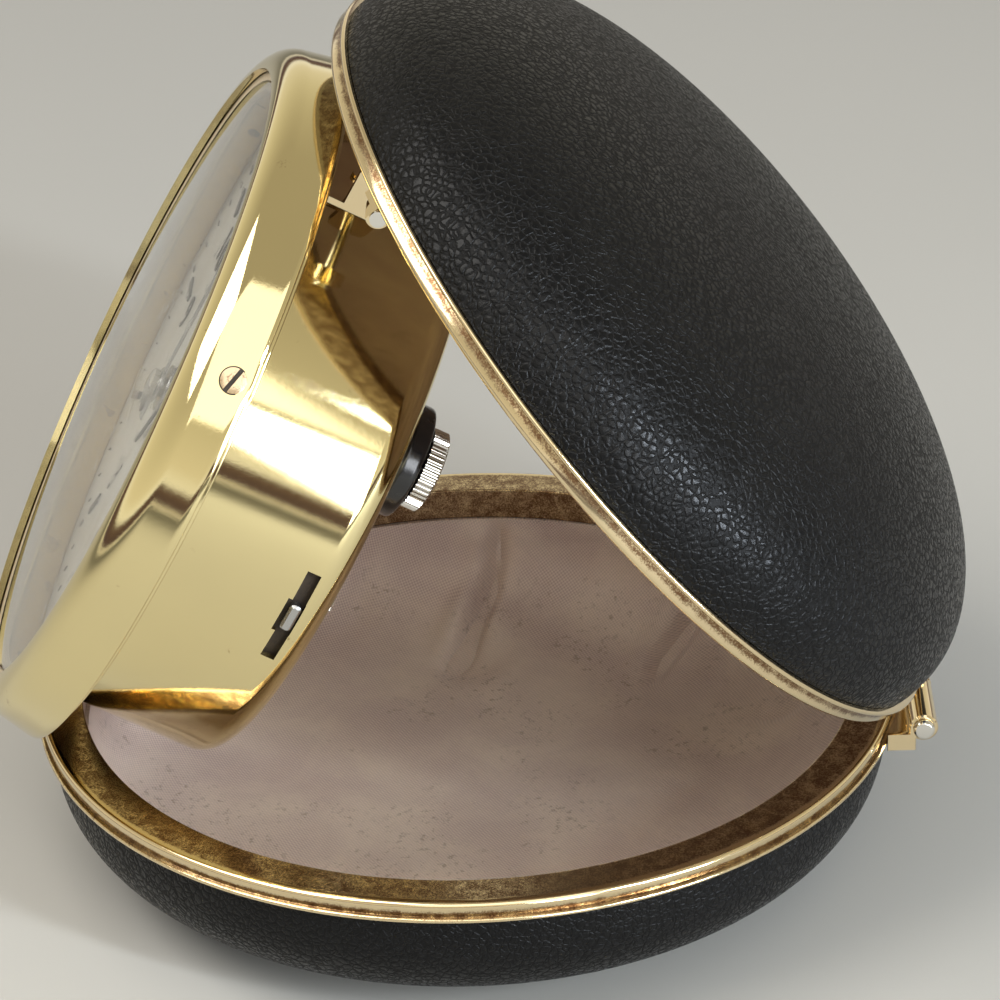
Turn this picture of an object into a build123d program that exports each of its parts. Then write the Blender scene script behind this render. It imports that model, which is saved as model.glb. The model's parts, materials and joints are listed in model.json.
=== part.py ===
from build123d import *
import math
import os

# Folding travel alarm clock: a round leather covered case of two shells, a lid
# that stands open at the back, and a drum clock hinged at the lid's free edge.
# Millimetres. The origin is at the middle of the base, on the table; +Z is up,
# the dial looks towards -Y, and the lid's hinge is at +Y.

# Case sizes
CASE_R = 44.0            # outer radius of both metal rims
RIM_BAND = 2.1           # height of the rim's outer band
RIM_LEDGE = 4.4          # width of the flat ledge inside the rim
RIM_WALL = 3.5           # depth of the rim's inner wall
RIM_SHEET = 0.6          # rim sheet thickness
RIM_ROUND = 0.35         # rounding of the rim's outer edge
BEAD_H = 0.5             # height of the bead below the band
BEAD_OUT = 0.25          # how far the bead stands out
LEATHER_T = 0.7
SHELL_T = 0.5
LINING_T = 0.35
SKIN_GAP = 0.05          # air between glued layers, so that each is its own solid
TUCK = 1.2               # how far a shell's edge goes up inside its rim
BASE_EDGE_H = 16.0       # height of the rim's lower edge over the table
BASE_BOWL_IN = 0.9       # leather bowl inside the rim's outer radius
BASE_BOWL_H = 16.5       # depth that the bowl's curve would have without its flat foot
BASE_FULLNESS = 3.0      # exponent of the bowl's curve
LID_BOWL_IN = 0.4
LID_BOWL_H = 18.6
LID_FULLNESS = 2.3
WELL_DEPTH = 12.4        # depth of the base lining's dish
WELL_FULLNESS = 3.6
WELL_INSET = 0.3         # lining's dish inside the rim's inner wall
LID_LINING_FOOT = 1.4    # how far the lid's lining stays above the rim's band

# Rear hinge
LID_OPEN = 50.7          # lid angle in the standing pose, degrees
HINGE_OUT = 1.7          # hinge axis outside the rims
HINGE_PIN_R = 0.85
HINGE_BARREL_R = 1.45
HINGE_HALF_W = 14.0      # half length of the barrel along X
HINGE_KNUCKLE_W = 8.0    # width of the base's two outer knuckles
HINGE_LEAF_T = 0.7
HINGE_BLOCK_H = 2.6      # how far a leaf's block reaches down or up its rim
HINGE_BLOCK_GAP = 0.6    # block's clearance from the plane of the rims
HINGE_FOOT_IN = 4.0      # how far forward of the rims' edge the blocks reach round them
HINGE_SIDE_GAP = 0.3     # between neighbouring knuckles
PIN_HEAD_R = 1.05
PIN_HEAD_T = 0.5

# Front hinge, which carries the clock at the lid's free edge
CLOCK_SLOPE = 61.0       # dial plane over the table in the standing pose, degrees
PIVOT_IN = 5.8           # clock pivot inside the lid's ledge
PIVOT_DROP = 2.2         # and below the lid's rim plane
PIVOT_OVER = 2.7         # clock pivot outside the drum
PIVOT_BEHIND = 5.1       # and behind the bezel's rear plane
PIVOT_PIN_R = 0.55
PIVOT_HEAD_R = 0.8
PIVOT_HEAD_T = 0.35
LUG_R = 1.2              # rolled lug at the lid
LUG_W = 2.4
LUG_BACK = 0.6           # lug's foot behind its pivot
LUG_RISE = 3.0           # lug's foot up the rim's inner wall
LUG_OUT = 19.4           # outer end of each lug from the middle
EAR_R = 1.9              # rounded ear of the clock's bracket
EAR_T = 0.9
EAR_OUT = 10.6           # outer face of each ear from the middle
BRACKET_T = 0.6
BRACKET_DEPTH = 6.0      # bracket's foot along the drum
RIVET_R = 0.7
RIVET_H = 0.35
RIVET_X = 6.0

# Clock case
BEZEL_R = 37.0
BEZEL_RIDGE_R = 36.3
BEZEL_RIDGE_H = 3.5
BEZEL_LIP_R = 33.0
BEZEL_LIP_H = 6.2
BEZEL_T = 0.7
BEZEL_SKIRT_T = 1.2      # the bezel is thicker round its skirt
BEZEL_TUCK = 0.35        # how far the skirt reaches behind the seam plane
BEZEL_BULGE = 0.55       # how far the rounded top stands out from a straight line
FLANGE_R = 35.6
FLANGE_T = 0.9
COLLAR_R = 34.9
COLLAR_T = 0.8
COLLAR_H = 2.9
DRUM_R = 31.8
DRUM_DEPTH = 17.4
DRUM_T = 0.6
DRUM_ROUND = 2.6
GASKET_R = 33.2
GASKET_LIP_R = 32.1      # inner edge of the gasket in front, round the crystal
GASKET_SEAT_R = 31.0     # inner edge of the seat behind the crystal
GASKET_SEAT_T = 0.5
CRYSTAL_T = 0.9
CRYSTAL_EDGE_H = 5.3     # front of the crystal's edge over the seam plane
CRYSTAL_CROWN = 2.3      # rise of the crystal's dome over its edge
SEAT_GAP = 0.05          # flat gap of seated pieces
DIAL_T = 0.4
SCREW_COUNT = 3
SCREW_ANGLE = 30.8       # first bezel screw, degrees from 3 o'clock
SCREW_HEAD_R = 1.3
SCREW_HEAD_T = 0.55
SCREW_SHANK_R = 0.6
SCREW_LEVEL = 1.55       # height of the screws over the seam plane
SCREW_SEAT_R = 36.35     # floor of each screw's recess
SCREW_FIT = 0.05
SLOT_W = 0.34            # width of a screw's slot
SLOT_D = 0.25

# Dial and hands
DIAL_R = 33.6
DIAL_HOLE_R = 2.5
MARKER_RING_R = 26.5
MARKER_L = 3.4
MARKER_W = 0.8
MARKER_LONG_L = 5.0      # at 12, 3, 6 and 9
MARKER_T = 0.2
HAND_T = 0.25
MINUTE_HAND_L = 23.5
MINUTE_HAND_W = 1.5
HOUR_HAND_L = 15.5
HOUR_HAND_W = 2.1
ALARM_HAND_L = 11.0
ALARM_HAND_W = 1.0
HAND_TAIL = 4.0
HAND_BOSS_T = 0.9        # ring of a hand round its pipe
HAND_SHOULDER_SHARE = 0.8
HUB_R = 1.5
MINUTE_ANGLE = -2.0      # hands' angles in the standing pose, from 12, clockwise minus
HOUR_ANGLE = -62.0
ALARM_ANGLE = 150.0
ALARM_HAND_H = 0.8       # heights of the hands over the seam plane
HOUR_HAND_H = 1.5
MINUTE_HAND_H = 2.2
HUB_CAP_H = 3.4

# Slot and lever in the drum's side
LEVER_ANGLE = -2.1       # middle of the slot, degrees from 3 o'clock
LEVER_BEHIND = 14.05     # middle of the slot behind the seam plane
LEVER_SLOT_L = 10.4
LEVER_SLOT_W = 1.4
LEVER_MOUTH_L = 3.8      # wider middle part of the slot
LEVER_MOUTH_W = 2.2
LEVER_TAB_L = 2.6
LEVER_TAB_W = 0.8
LEVER_STRIP_T = 0.8
LEVER_STRIP_L = 17.0
LEVER_STRIP_H = 2.8
LEVER_OUT = 0.3          # tab's end outside the drum
LEVER_GAP = 0.3

# Movement
PLATE_IN = 4.8           # plates' edge inside the drum's outer radius
PLATE_T = 1.0
FRONT_PLATE_TOP = 2.8    # front plate's face behind the seam plane
PLATE_SPACE = 9.6        # between the plates
PILLAR_R = 1.5
PILLAR_IN = 2.8          # pillars inside the plates' edge
PILLAR_ANGLES = (-62.0, 62.0, 176.0)
PILLAR_HEAD_R = 2.3
PILLAR_HEAD_T = 1.6
PILLAR_NECK_R = 0.8
PLATE_LUG_W = 6.0
ARBOR_R = 0.6
PIVOT_R = 0.35           # thin ends of the arbors, in the plates' holes
ESCAPE_MODULE = 0.15
ESCAPE_LAYER = 6.6
PINION_L = 0.8           # length of the train's pinions
PIVOT_FIT = 0.05         # running clearance of every pivot
END_SHAKE = 0.3
WHEEL_T = 0.4
WHEEL_RIM = 1.3          # width of a wheel's rim inside its teeth
SPOKE_W = 1.1
SPOKE_COUNT = 4
SAW_SHARE = 0.15         # steep flank of a saw tooth, as a share of its pitch
HUB_BOSS_R = 1.5
TOOTH_SHARE = 0.40       # wheel tooth width at the pitch circle, as a share of the pitch
LEAF_SHARE = 0.34        # pinion leaf width likewise
TIP_SHARE = 0.45         # tooth width at its tip, as a share of its width at the pitch circle
ROOT_SHARE = 1.35        # tooth width at its root, likewise
ADDENDUM_SHARE = 0.80    # tooth height over the pitch circle, in modules
DEDENDUM_SHARE = 1.15    # and below it

TRAIN_MODULE = 0.3
TRAIN_TEETH = 48
TRAIN_LEAVES = 8
BARREL_TEETH = 45
CENTRE_LEAVES = 10
BARREL_AT = 13.5         # going barrel from the centre
BARREL_ANGLE = 205.0
BARREL_H = 5.4
BARREL_SIDE = 1.0        # barrel drum's side inside its teeth
BARREL_TOP = 7.2         # barrel teeth's front face behind the seam plane
BARREL_TOOTH_T = 0.8
MAINSPRING_COILS = 5
MAINSPRING_FIT = 0.4     # outer coil inside its barrel
MAINSPRING_STEP = 0.8
MAINSPRING_T = 0.35
CENTRE_LAYER = 5.9       # front faces of the train's wheels behind the seam plane
THIRD_LAYER = 5.1
FOURTH_LAYER = 4.3
THIRD_ANGLE = 125.0
FOURTH_ANGLE = 60.0
ESCAPE_ANGLE = 170.0
ESCAPE_TEETH = 15
ESCAPE_R = 3.0
ESCAPE_TOOTH_D = 0.8
BALANCE_X = -17.5
BALANCE_Y = 11.0
BALANCE_R = 4.2
BALANCE_RIM = 0.9
BALANCE_T = 0.8
BALANCE_LAYER = 8.2
SPRING_R = 2.6
SPRING_T = 0.3
SPRING_GAP = 0.3
SPRING_COILS = 3
SPRING_DROP = 0.6        # spring behind the balance's rim
PALLET_FROM_ESCAPE = 4.6
PALLET_T = 0.4
PALLET_REACH = 2.6
PALLET_DROP = 2.1        # how far the pallets' tips come towards the escape wheel
PALLET_W = 0.7
FORK_L = 3.2

# Motion work under the dial
ALARM_TOP = 0.35         # front faces of the three layers behind the seam plane
HOUR_TOP = 1.15
MINUTE_TOP = 1.95
MOTION_T = 0.45
CANNON_TEETH = 12
MINUTE_WHEEL_TEETH = 36
MINUTE_PINION_TEETH = 10
HOUR_TEETH = 40
MOTION_MODULE = 0.4
SET_TEETH = 22
ALARM_TEETH = 48
ALARM_PINION_TEETH = 16
CANNON_R = 1.0           # outer radii of the nested pipes
HOUR_PIPE_R = 1.55
ALARM_PIPE_R = 2.1
PIPE_FIT = 0.08

# Setting knobs, one on the other, on the drum's back
KNOB_ANGLE = 34.4        # their axis seen from the front, degrees from 3 o'clock
SET_TUBE_R = 1.3
SET_KNOB_R = 5.7
SET_KNOB_T = 2.1
SET_KNOB_ROUND = 0.5
ALARM_ARBOR_R = 0.65
ALARM_KNOB_R = 4.1
ALARM_KNOB_T = 1.9
KNURL_COUNT = 30
KNURL_D = 0.28
KNOB_GAP = 0.4           # between the back and the first knob, and between the knobs

# Alarm work
ALARM_BARREL_AT = 14.5
ALARM_BARREL_ANGLE = -30.0
STRIKE_LEAVES = 9
STRIKE_AT = 12.9         # strike wheel from the alarm barrel
STRIKE_ANGLE = 75.0
STRIKE_TEETH = 15
STRIKE_R = 4.6
STRIKE_TOOTH_D = 0.9
HAMMER_X = 22.6
HAMMER_Y = 3.2
HAMMER_L = 11.4
HAMMER_W = 1.2
HAMMER_HEAD_R = 1.5
HAMMER_HEAD_H = 3.0
HAMMER_ANGLE = -73.0

# Winding keys on the drum's back
KEY_GAP = 0.4
KEY_HUB_R = 2.6
KEY_HUB_H = 1.2
KEY_WING_L = 6.4
KEY_WING_W = 4.6
KEY_WING_T = 1.0
KEY_ROUND_SHARE = 0.45   # rounding of a wing's corners, as a share of its width
KEY_ANGLE = 35.0
KEY_ARBOR_R = 1.2
RATCHET_R = 3.6
RATCHET_TEETH = 14
RATCHET_TOOTH_D = 0.6
RATCHET_T = 0.6
RATCHET_TOP = 14.8       # behind the seam plane, behind the rear plate
CLICK_L = 4.2
CLICK_W = 1.2
CLICK_GAP = 0.35
CLICK_ANGLE = 120.0

# Drawing helpers
CUT = 1.0                # overrun of cutting tools
CURVE_POINTS = 13        # points along a bowl's curve
HOLE_GAP = 0.3           # clearance round an arbor that passes a wall

# Places worked out from the sizes above
BASE_TOP = BASE_EDGE_H + RIM_BAND
LEDGE_R = CASE_R - RIM_LEDGE
BASE_BOWL_R = CASE_R - BASE_BOWL_IN
LID_BOWL_R = CASE_R - LID_BOWL_IN
HINGE_Y = CASE_R + HINGE_OUT
HINGE_FOOT_Y = CASE_R - HINGE_FOOT_IN
PIVOT_ALONG = HINGE_Y + LEDGE_R - PIVOT_IN
PIVOT_UP = DRUM_R + PIVOT_OVER
PLATE_R = DRUM_R - PLATE_IN
PILLAR_RING_R = PLATE_R - PILLAR_IN
WALL_T = LEATHER_T + SHELL_T + 2 * SKIN_GAP
KNOB_AT = MOTION_MODULE * (CANNON_TEETH + 2 * MINUTE_WHEEL_TEETH + SET_TEETH) / 2
HOUR_MODULE = MOTION_MODULE * (CANNON_TEETH + MINUTE_WHEEL_TEETH) / (MINUTE_PINION_TEETH + HOUR_TEETH)
ALARM_MODULE = 2 * KNOB_AT / (ALARM_TEETH + ALARM_PINION_TEETH)
BARREL_MODULE = 2 * BARREL_AT / (BARREL_TEETH + CENTRE_LEAVES)
STRIKE_MODULE = 2 * STRIKE_AT / (BARREL_TEETH + STRIKE_LEAVES)
REAR_PLATE_TOP = FRONT_PLATE_TOP + PLATE_T + PLATE_SPACE
INNER_DRUM_R = DRUM_R - DRUM_T
BACK = -DRUM_DEPTH

os.makedirs("parts", exist_ok=True)


def at_angle(radius, degrees):
    """A point at that radius and angle in the XY plane."""
    return (radius * math.cos(math.radians(degrees)), radius * math.sin(math.radians(degrees)))


def lid_place():
    """From the closed lid's own frame, with its rim plane at zero, to the standing pose."""
    return Pos(0, HINGE_Y, BASE_TOP) * Rot(X=-LID_OPEN) * Pos(0, -HINGE_Y, 0)


def clock_place():
    """From the clock's frame, with +Z out of the dial and +Y to 12, to the standing pose."""
    lid = math.radians(LID_OPEN)
    pivot_y = HINGE_Y - PIVOT_ALONG * math.cos(lid) - PIVOT_DROP * math.sin(lid)
    pivot_z = BASE_TOP + PIVOT_ALONG * math.sin(lid) - PIVOT_DROP * math.cos(lid)
    return Pos(0, pivot_y, pivot_z) * Rot(X=CLOCK_SLOPE) * Pos(0, -PIVOT_UP, PIVOT_BEHIND)


LID = lid_place()
CLOCK = clock_place()


def keep(name, shape):
    """Write one sub-part's solids to its own file."""
    solids = shape.solids()
    body = solids[0] if len(solids) == 1 else Compound(children=list(solids))
    export_step(body, "parts/" + name + ".step")


def turned(outline):
    """A closed outline in the XZ plane turned about Z."""
    return revolve(make_face(outline), Axis.Z)


def section(*points):
    """A closed outline through (radius, height) points."""
    return Plane.XZ * Polyline(*points, close=True)


def disc(radius, bottom, top, x=0, y=0):
    """A round bar between two heights."""
    return Pos(x, y, bottom) * Cylinder(radius, top - bottom, align=(Align.CENTER, Align.CENTER, Align.MIN))


def tube(outer, inner, bottom, top, x=0, y=0):
    """A round tube between two heights."""
    return disc(outer, bottom, top, x, y) - disc(inner, bottom - CUT, top + CUT, x, y)


def block(x0, x1, y0, y1, z0, z1):
    """A box between two corners."""
    return Pos(x0, y0, z0) * Box(x1 - x0, y1 - y0, z1 - z0, align=(Align.MIN, Align.MIN, Align.MIN))


def slope(radius, height, fullness, r, h):
    """Direction of a bowl's curve at one of its points, going up."""
    return (-(h / height) ** (fullness - 1) / height, (r / radius) ** (fullness - 1) / radius)


def bowl(radius, height, fullness, flat, collar):
    """A solid bowl that rises from zero to its flat or its pole, with a collar below zero."""
    end = math.asin(min(1.0, flat / height) ** (fullness / 2))
    power = 2 / fullness
    steps = [end * i / (CURVE_POINTS - 1) for i in range(CURVE_POINTS)]
    points = [(radius * abs(math.cos(t)) ** power, height * math.sin(t) ** power) for t in steps]
    if flat >= height:
        points[-1] = (0, height)
    ends = [slope(radius, height, fullness, *points[0]), slope(radius, height, fullness, *points[-1])]
    curve = Spline(*points, tangents=ends)
    top = points[-1][1]
    closing = [points[-1], (0, top), (0, -collar), (radius, -collar), points[0]]
    closing = [p for i, p in enumerate(closing) if i == 0 or math.dist(p, closing[i - 1]) > 0]
    curve += Polyline(*closing)
    return turned(Plane.XZ * curve)


def shell_wall(radius, height, fullness, flat, wall, collar):
    """A bowl of even thickness, open at its collar."""
    outer = bowl(radius, height, fullness, flat, collar)
    return outer - bowl(radius - wall, height - wall, fullness, flat - wall, collar + CUT)


def gear(teeth, module, width_share, bottom, thickness):
    """A toothed disc with straight flanked teeth, the first tooth on the X axis."""
    pitch_r = module * teeth / 2
    tip_r = pitch_r + ADDENDUM_SHARE * module
    root_r = pitch_r - DEDENDUM_SHARE * module
    width = width_share * math.pi * module
    half_root = math.degrees(width * ROOT_SHARE / 2 / root_r)
    half_tip = math.degrees(width * TIP_SHARE / 2 / tip_r)
    points = []
    for i in range(teeth):
        turn = 360 * i / teeth
        points.append(at_angle(root_r, turn - half_root))
        points.append(at_angle(tip_r, turn - half_tip))
        points.append(at_angle(tip_r, turn + half_tip))
        points.append(at_angle(root_r, turn + half_root))
    return Pos(0, 0, bottom) * extrude(make_face(Polyline(*points, close=True)), thickness)


def crossings(outer_r, bottom, thickness):
    """The spaces between a wheel's spokes."""
    ring = tube(outer_r, HUB_BOSS_R, bottom - CUT, bottom + thickness + CUT)
    reach = outer_r + CUT
    for i in range(SPOKE_COUNT // 2):
        spoke = block(-reach, reach, -SPOKE_W / 2, SPOKE_W / 2, bottom - CUT, bottom + thickness + CUT)
        ring -= Rot(Z=360 / SPOKE_COUNT * i) * spoke
    return ring


def wheel(teeth, module, top, thickness):
    """A spoked wheel whose front face lies that far behind the seam plane."""
    bottom = -top - thickness
    root_r = module * (teeth / 2 - DEDENDUM_SHARE)
    toothed = gear(teeth, module, TOOTH_SHARE, bottom, thickness)
    return toothed - crossings(root_r - WHEEL_RIM, bottom, thickness)


def pinion(leaves, module, top, length):
    """A pinion whose front face lies that far behind the seam plane."""
    return gear(leaves, module, LEAF_SHARE, -top - length, length)


def arbor():
    """An arbor that stands between the plates, with its thin ends in their holes."""
    front = FRONT_PLATE_TOP + PLATE_T + END_SHAKE
    rear = REAR_PLATE_TOP - END_SHAKE
    body = disc(ARBOR_R, -rear, -front)
    return body + disc(PIVOT_R, -REAR_PLATE_TOP - PLATE_T, -FRONT_PLATE_TOP)


def ratchet(teeth, radius, tooth_depth, bottom, thickness):
    """A saw toothed disc."""
    points = []
    for i in range(teeth):
        turn = 360 * i / teeth
        points.append(at_angle(radius, turn))
        points.append(at_angle(radius - tooth_depth, turn + SAW_SHARE * 360 / teeth))
    return Pos(0, 0, bottom) * extrude(make_face(Polyline(*points, close=True)), thickness)


# Places of the movement's axes in the clock's frame
def beside(place, distance, angle):
    """The point that far from another, at that angle."""
    return (place[0] + at_angle(distance, angle)[0], place[1] + at_angle(distance, angle)[1])


CENTRE = (0, 0)
MESH = TRAIN_MODULE * (TRAIN_TEETH + TRAIN_LEAVES) / 2
THIRD = beside(CENTRE, MESH, THIRD_ANGLE)
FOURTH = beside(THIRD, MESH, FOURTH_ANGLE)
ESCAPE = beside(FOURTH, MESH, ESCAPE_ANGLE)
BALANCE = (BALANCE_X, BALANCE_Y)
PALLET_ANGLE = math.degrees(math.atan2(BALANCE_Y - ESCAPE[1], BALANCE_X - ESCAPE[0]))
PALLET = beside(ESCAPE, PALLET_FROM_ESCAPE, PALLET_ANGLE)
BARREL = beside(CENTRE, BARREL_AT, BARREL_ANGLE)
ALARM = beside(CENTRE, ALARM_BARREL_AT, ALARM_BARREL_ANGLE)
STRIKE = beside(ALARM, STRIKE_AT, STRIKE_ANGLE)
HAMMER = (HAMMER_X, HAMMER_Y)
KNOB = beside(CENTRE, KNOB_AT, KNOB_ANGLE)
MINUTE = beside(CENTRE, MOTION_MODULE * (CANNON_TEETH + MINUTE_WHEEL_TEETH) / 2, KNOB_ANGLE)
THIN_PIVOTS = (CENTRE, THIRD, FOURTH, ESCAPE, PALLET, BALANCE, STRIKE, HAMMER)
WOUND_ARBORS = (BARREL, ALARM)


def phase(follower_teeth, driver_teeth, angle, driver_phase):
    """Turn of a wheel, beyond its driver at that angle, that puts a gap on the driver's tooth."""
    tooth_at = (angle - driver_phase) / (360 / driver_teeth)
    offset = tooth_at - round(tooth_at)
    return angle + 180 + (offset + 1 / 2) * 360 / follower_teeth


THIRD_PHASE = phase(TRAIN_LEAVES, TRAIN_TEETH, THIRD_ANGLE, 0)
FOURTH_PHASE = phase(TRAIN_LEAVES, TRAIN_TEETH, FOURTH_ANGLE, THIRD_PHASE)
BARREL_PHASE = phase(BARREL_TEETH, CENTRE_LEAVES, BARREL_ANGLE, 0)
STRIKE_PHASE = phase(STRIKE_LEAVES, BARREL_TEETH, STRIKE_ANGLE, 0)
MINUTE_PHASE = phase(MINUTE_WHEEL_TEETH, CANNON_TEETH, KNOB_ANGLE, 0)
SET_PHASE = phase(SET_TEETH, MINUTE_WHEEL_TEETH, KNOB_ANGLE, MINUTE_PHASE)
HOUR_PHASE = phase(HOUR_TEETH, MINUTE_PINION_TEETH, KNOB_ANGLE + 180, MINUTE_PHASE)
ALARM_PHASE = phase(ALARM_TEETH, ALARM_PINION_TEETH, KNOB_ANGLE + 180, 0)


def keep_at(name, place, turn, shape):
    """Write a piece of the clock made about its own axis."""
    keep(name, CLOCK * Pos(place[0], place[1], 0) * Rot(Z=turn) * shape)


def rim_outline():
    """The rim's section with its mating plane at zero and the shell below."""
    skirt_r = CASE_R - RIM_SHEET
    wall_r = LEDGE_R + RIM_SHEET
    return section((CASE_R - RIM_ROUND, 0), (CASE_R, -RIM_ROUND), (CASE_R, -RIM_BAND + BEAD_H),
                   (CASE_R + BEAD_OUT, -RIM_BAND + BEAD_H / 2), (CASE_R, -RIM_BAND), (skirt_r, -RIM_BAND),
                   (skirt_r, -RIM_SHEET), (wall_r, -RIM_SHEET), (wall_r, -RIM_WALL), (LEDGE_R, -RIM_WALL),
                   (LEDGE_R, 0))


def make_base():
    """The lower half: leather, shell, rim and the padded, dished lining."""
    upside = Pos(0, 0, BASE_EDGE_H - SKIN_GAP) * Rot(X=180)
    flat = BASE_EDGE_H - SKIN_GAP
    inset = LEATHER_T + SKIN_GAP
    keep("base_leather", upside * shell_wall(BASE_BOWL_R, BASE_BOWL_H, BASE_FULLNESS, flat, LEATHER_T, 0))
    shell = shell_wall(BASE_BOWL_R - inset, BASE_BOWL_H - inset, BASE_FULLNESS, flat - inset, SHELL_T, TUCK)
    keep("base_shell", upside * shell)
    keep("base_rim", Pos(0, 0, BASE_TOP) * turned(rim_outline()))
    pad_top = BASE_TOP - RIM_WALL - SKIN_GAP
    pad = upside * bowl(BASE_BOWL_R - WALL_T, BASE_BOWL_H - WALL_T, BASE_FULLNESS, flat - WALL_T, 0)
    pad -= disc(CASE_R, pad_top, BASE_TOP)
    dish = bowl(LEDGE_R - WELL_INSET, WELL_DEPTH, WELL_FULLNESS, WELL_DEPTH, CUT)
    keep("base_lining", pad - Pos(0, 0, pad_top) * Rot(X=180) * dish)


def make_lid():
    """The upper half, in the closed lid's frame, then turned open."""
    up = LID * Pos(0, 0, RIM_BAND + SKIN_GAP)
    inset = LEATHER_T + SKIN_GAP
    radius = LID_BOWL_R - inset
    height = LID_BOWL_H - inset
    keep("lid_leather", up * shell_wall(LID_BOWL_R, LID_BOWL_H, LID_FULLNESS, LID_BOWL_H, LEATHER_T, 0))
    keep("lid_shell", up * shell_wall(radius, height, LID_FULLNESS, height, SHELL_T, TUCK))
    keep("lid_rim", LID * Rot(X=180) * turned(rim_outline()))
    radius = LID_BOWL_R - WALL_T
    height = LID_BOWL_H - WALL_T
    lining = shell_wall(radius, height, LID_FULLNESS, height, LINING_T, 0)
    lining -= disc(CASE_R, -CUT, LID_LINING_FOOT)
    keep("lid_lining", up * lining)


def knuckle(left, right, side):
    """A rolled knuckle of the rear hinge with its block against the rim, below or above."""
    bar = Rot(Y=90) * disc(HINGE_BARREL_R, left, right)
    z0, z1 = sorted((side * HINGE_BLOCK_GAP, side * HINGE_BLOCK_H))
    foot = block(left, right, HINGE_FOOT_Y - HINGE_Y, HINGE_LEAF_T - HINGE_BARREL_R, z0, z1)
    low, high = sorted((0, side * HINGE_BLOCK_H))
    bridge = block(left, right, -HINGE_BARREL_R, HINGE_LEAF_T - HINGE_BARREL_R, low, high)
    body = bar + foot + bridge
    body -= Rot(Y=90) * disc(HINGE_PIN_R + PIVOT_FIT, left - CUT, right + CUT)
    return body - disc(CASE_R + BEAD_OUT + SKIN_GAP, -HINGE_BLOCK_H - CUT, HINGE_BLOCK_H + CUT, 0, -HINGE_Y)


def make_rear_hinge():
    """The lid's hinge: two knuckles on the base, one on the lid, and the pin."""
    axis = Pos(0, HINGE_Y, BASE_TOP)
    inner = HINGE_HALF_W - HINGE_KNUCKLE_W
    base_leaf = knuckle(-HINGE_HALF_W, -inner, -1) + knuckle(inner, HINGE_HALF_W, -1)
    keep("base_hinge_leaf", axis * base_leaf)
    lid_leaf = knuckle(-inner + HINGE_SIDE_GAP, inner - HINGE_SIDE_GAP, 1)
    keep("lid_hinge_leaf", axis * Rot(X=-LID_OPEN) * lid_leaf)
    reach = HINGE_HALF_W + SKIN_GAP
    pin = disc(HINGE_PIN_R, -reach, reach)
    pin += disc(PIN_HEAD_R, reach, reach + PIN_HEAD_T)
    pin += disc(PIN_HEAD_R, -reach - PIN_HEAD_T, -reach)
    keep("lid_hinge_pin", axis * Rot(Y=90) * pin)


def make_front_hinge():
    """The clock's hinge: two lugs inside the lid's rim, a wire pin, and the clock's bracket."""
    pivot_y = HINGE_Y - PIVOT_ALONG
    lugs = None
    for side in (-1, 1):
        x0, x1 = sorted((side * (LUG_OUT - LUG_W), side * LUG_OUT))
        lug = Pos(0, pivot_y, -PIVOT_DROP) * Rot(Y=90) * disc(LUG_R, x0, x1)
        lug += block(x0, x1, -LEDGE_R, pivot_y + LUG_BACK, -PIVOT_DROP, LUG_RISE)
        lug &= disc(LEDGE_R - SKIN_GAP, -CASE_R, CASE_R)
        lug -= Pos(0, pivot_y, -PIVOT_DROP) * Rot(Y=90) * disc(PIVOT_PIN_R + PIVOT_FIT, x0 - CUT, x1 + CUT)
        lugs = lug if lugs is None else lugs + lug
    keep("clock_hinge_lugs", LID * lugs)

    axis = CLOCK * Pos(0, PIVOT_UP, -PIVOT_BEHIND) * Rot(Y=90)
    reach = LUG_OUT + END_SHAKE
    pin = disc(PIVOT_PIN_R, -reach, reach)
    pin += disc(PIVOT_HEAD_R, reach, reach + PIVOT_HEAD_T) + disc(PIVOT_HEAD_R, -reach - PIVOT_HEAD_T, -reach)
    keep("clock_hinge_pin", axis * pin)

    foot_r = DRUM_R + SKIN_GAP
    front = -FLANGE_T - SKIN_GAP
    rear = front - BRACKET_DEPTH
    foot = tube(foot_r + BRACKET_T, foot_r, rear, front)
    foot &= block(-EAR_OUT, EAR_OUT, 0, DRUM_R + CUT, rear, front)
    bracket = foot
    for side in (-1, 1):
        x0, x1 = sorted((side * (EAR_OUT - EAR_T), side * EAR_OUT))
        ear = Pos(0, PIVOT_UP, -PIVOT_BEHIND) * Rot(Y=90) * disc(EAR_R, x0, x1)
        ear += block(x0, x1, DRUM_R - BRACKET_DEPTH, PIVOT_UP, -PIVOT_BEHIND - EAR_R, -PIVOT_BEHIND + EAR_R)
        bracket += ear
    bracket -= disc(foot_r, rear - CUT, front + CUT)
    bore = disc(PIVOT_PIN_R + SEAT_GAP, -EAR_OUT - CUT, EAR_OUT + CUT)
    bracket -= Pos(0, PIVOT_UP, -PIVOT_BEHIND) * Rot(Y=90) * bore
    keep("clock_bracket", CLOCK * bracket)
    rivets = None
    for x in (-RIVET_X, RIVET_X):
        lean = math.degrees(math.asin(x / foot_r))
        out = foot_r + BRACKET_T + SKIN_GAP
        middle = Pos(0, 0, front + (rear - front) / 2)
        head = Rot(Z=-lean) * middle * Rot(X=-90) * disc(RIVET_R, out, out + RIVET_H)
        rivets = head if rivets is None else rivets + head
    keep("bracket_rivets", CLOCK * rivets)


def screw_places():
    """Frames of the bezel's screws, each with +Z out along its radius."""
    frames = []
    for i in range(SCREW_COUNT):
        turn = SCREW_ANGLE + i * 360 / SCREW_COUNT
        frames.append(Rot(Z=turn) * Pos(0, 0, SCREW_LEVEL) * Rot(Y=90))
    return frames


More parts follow.
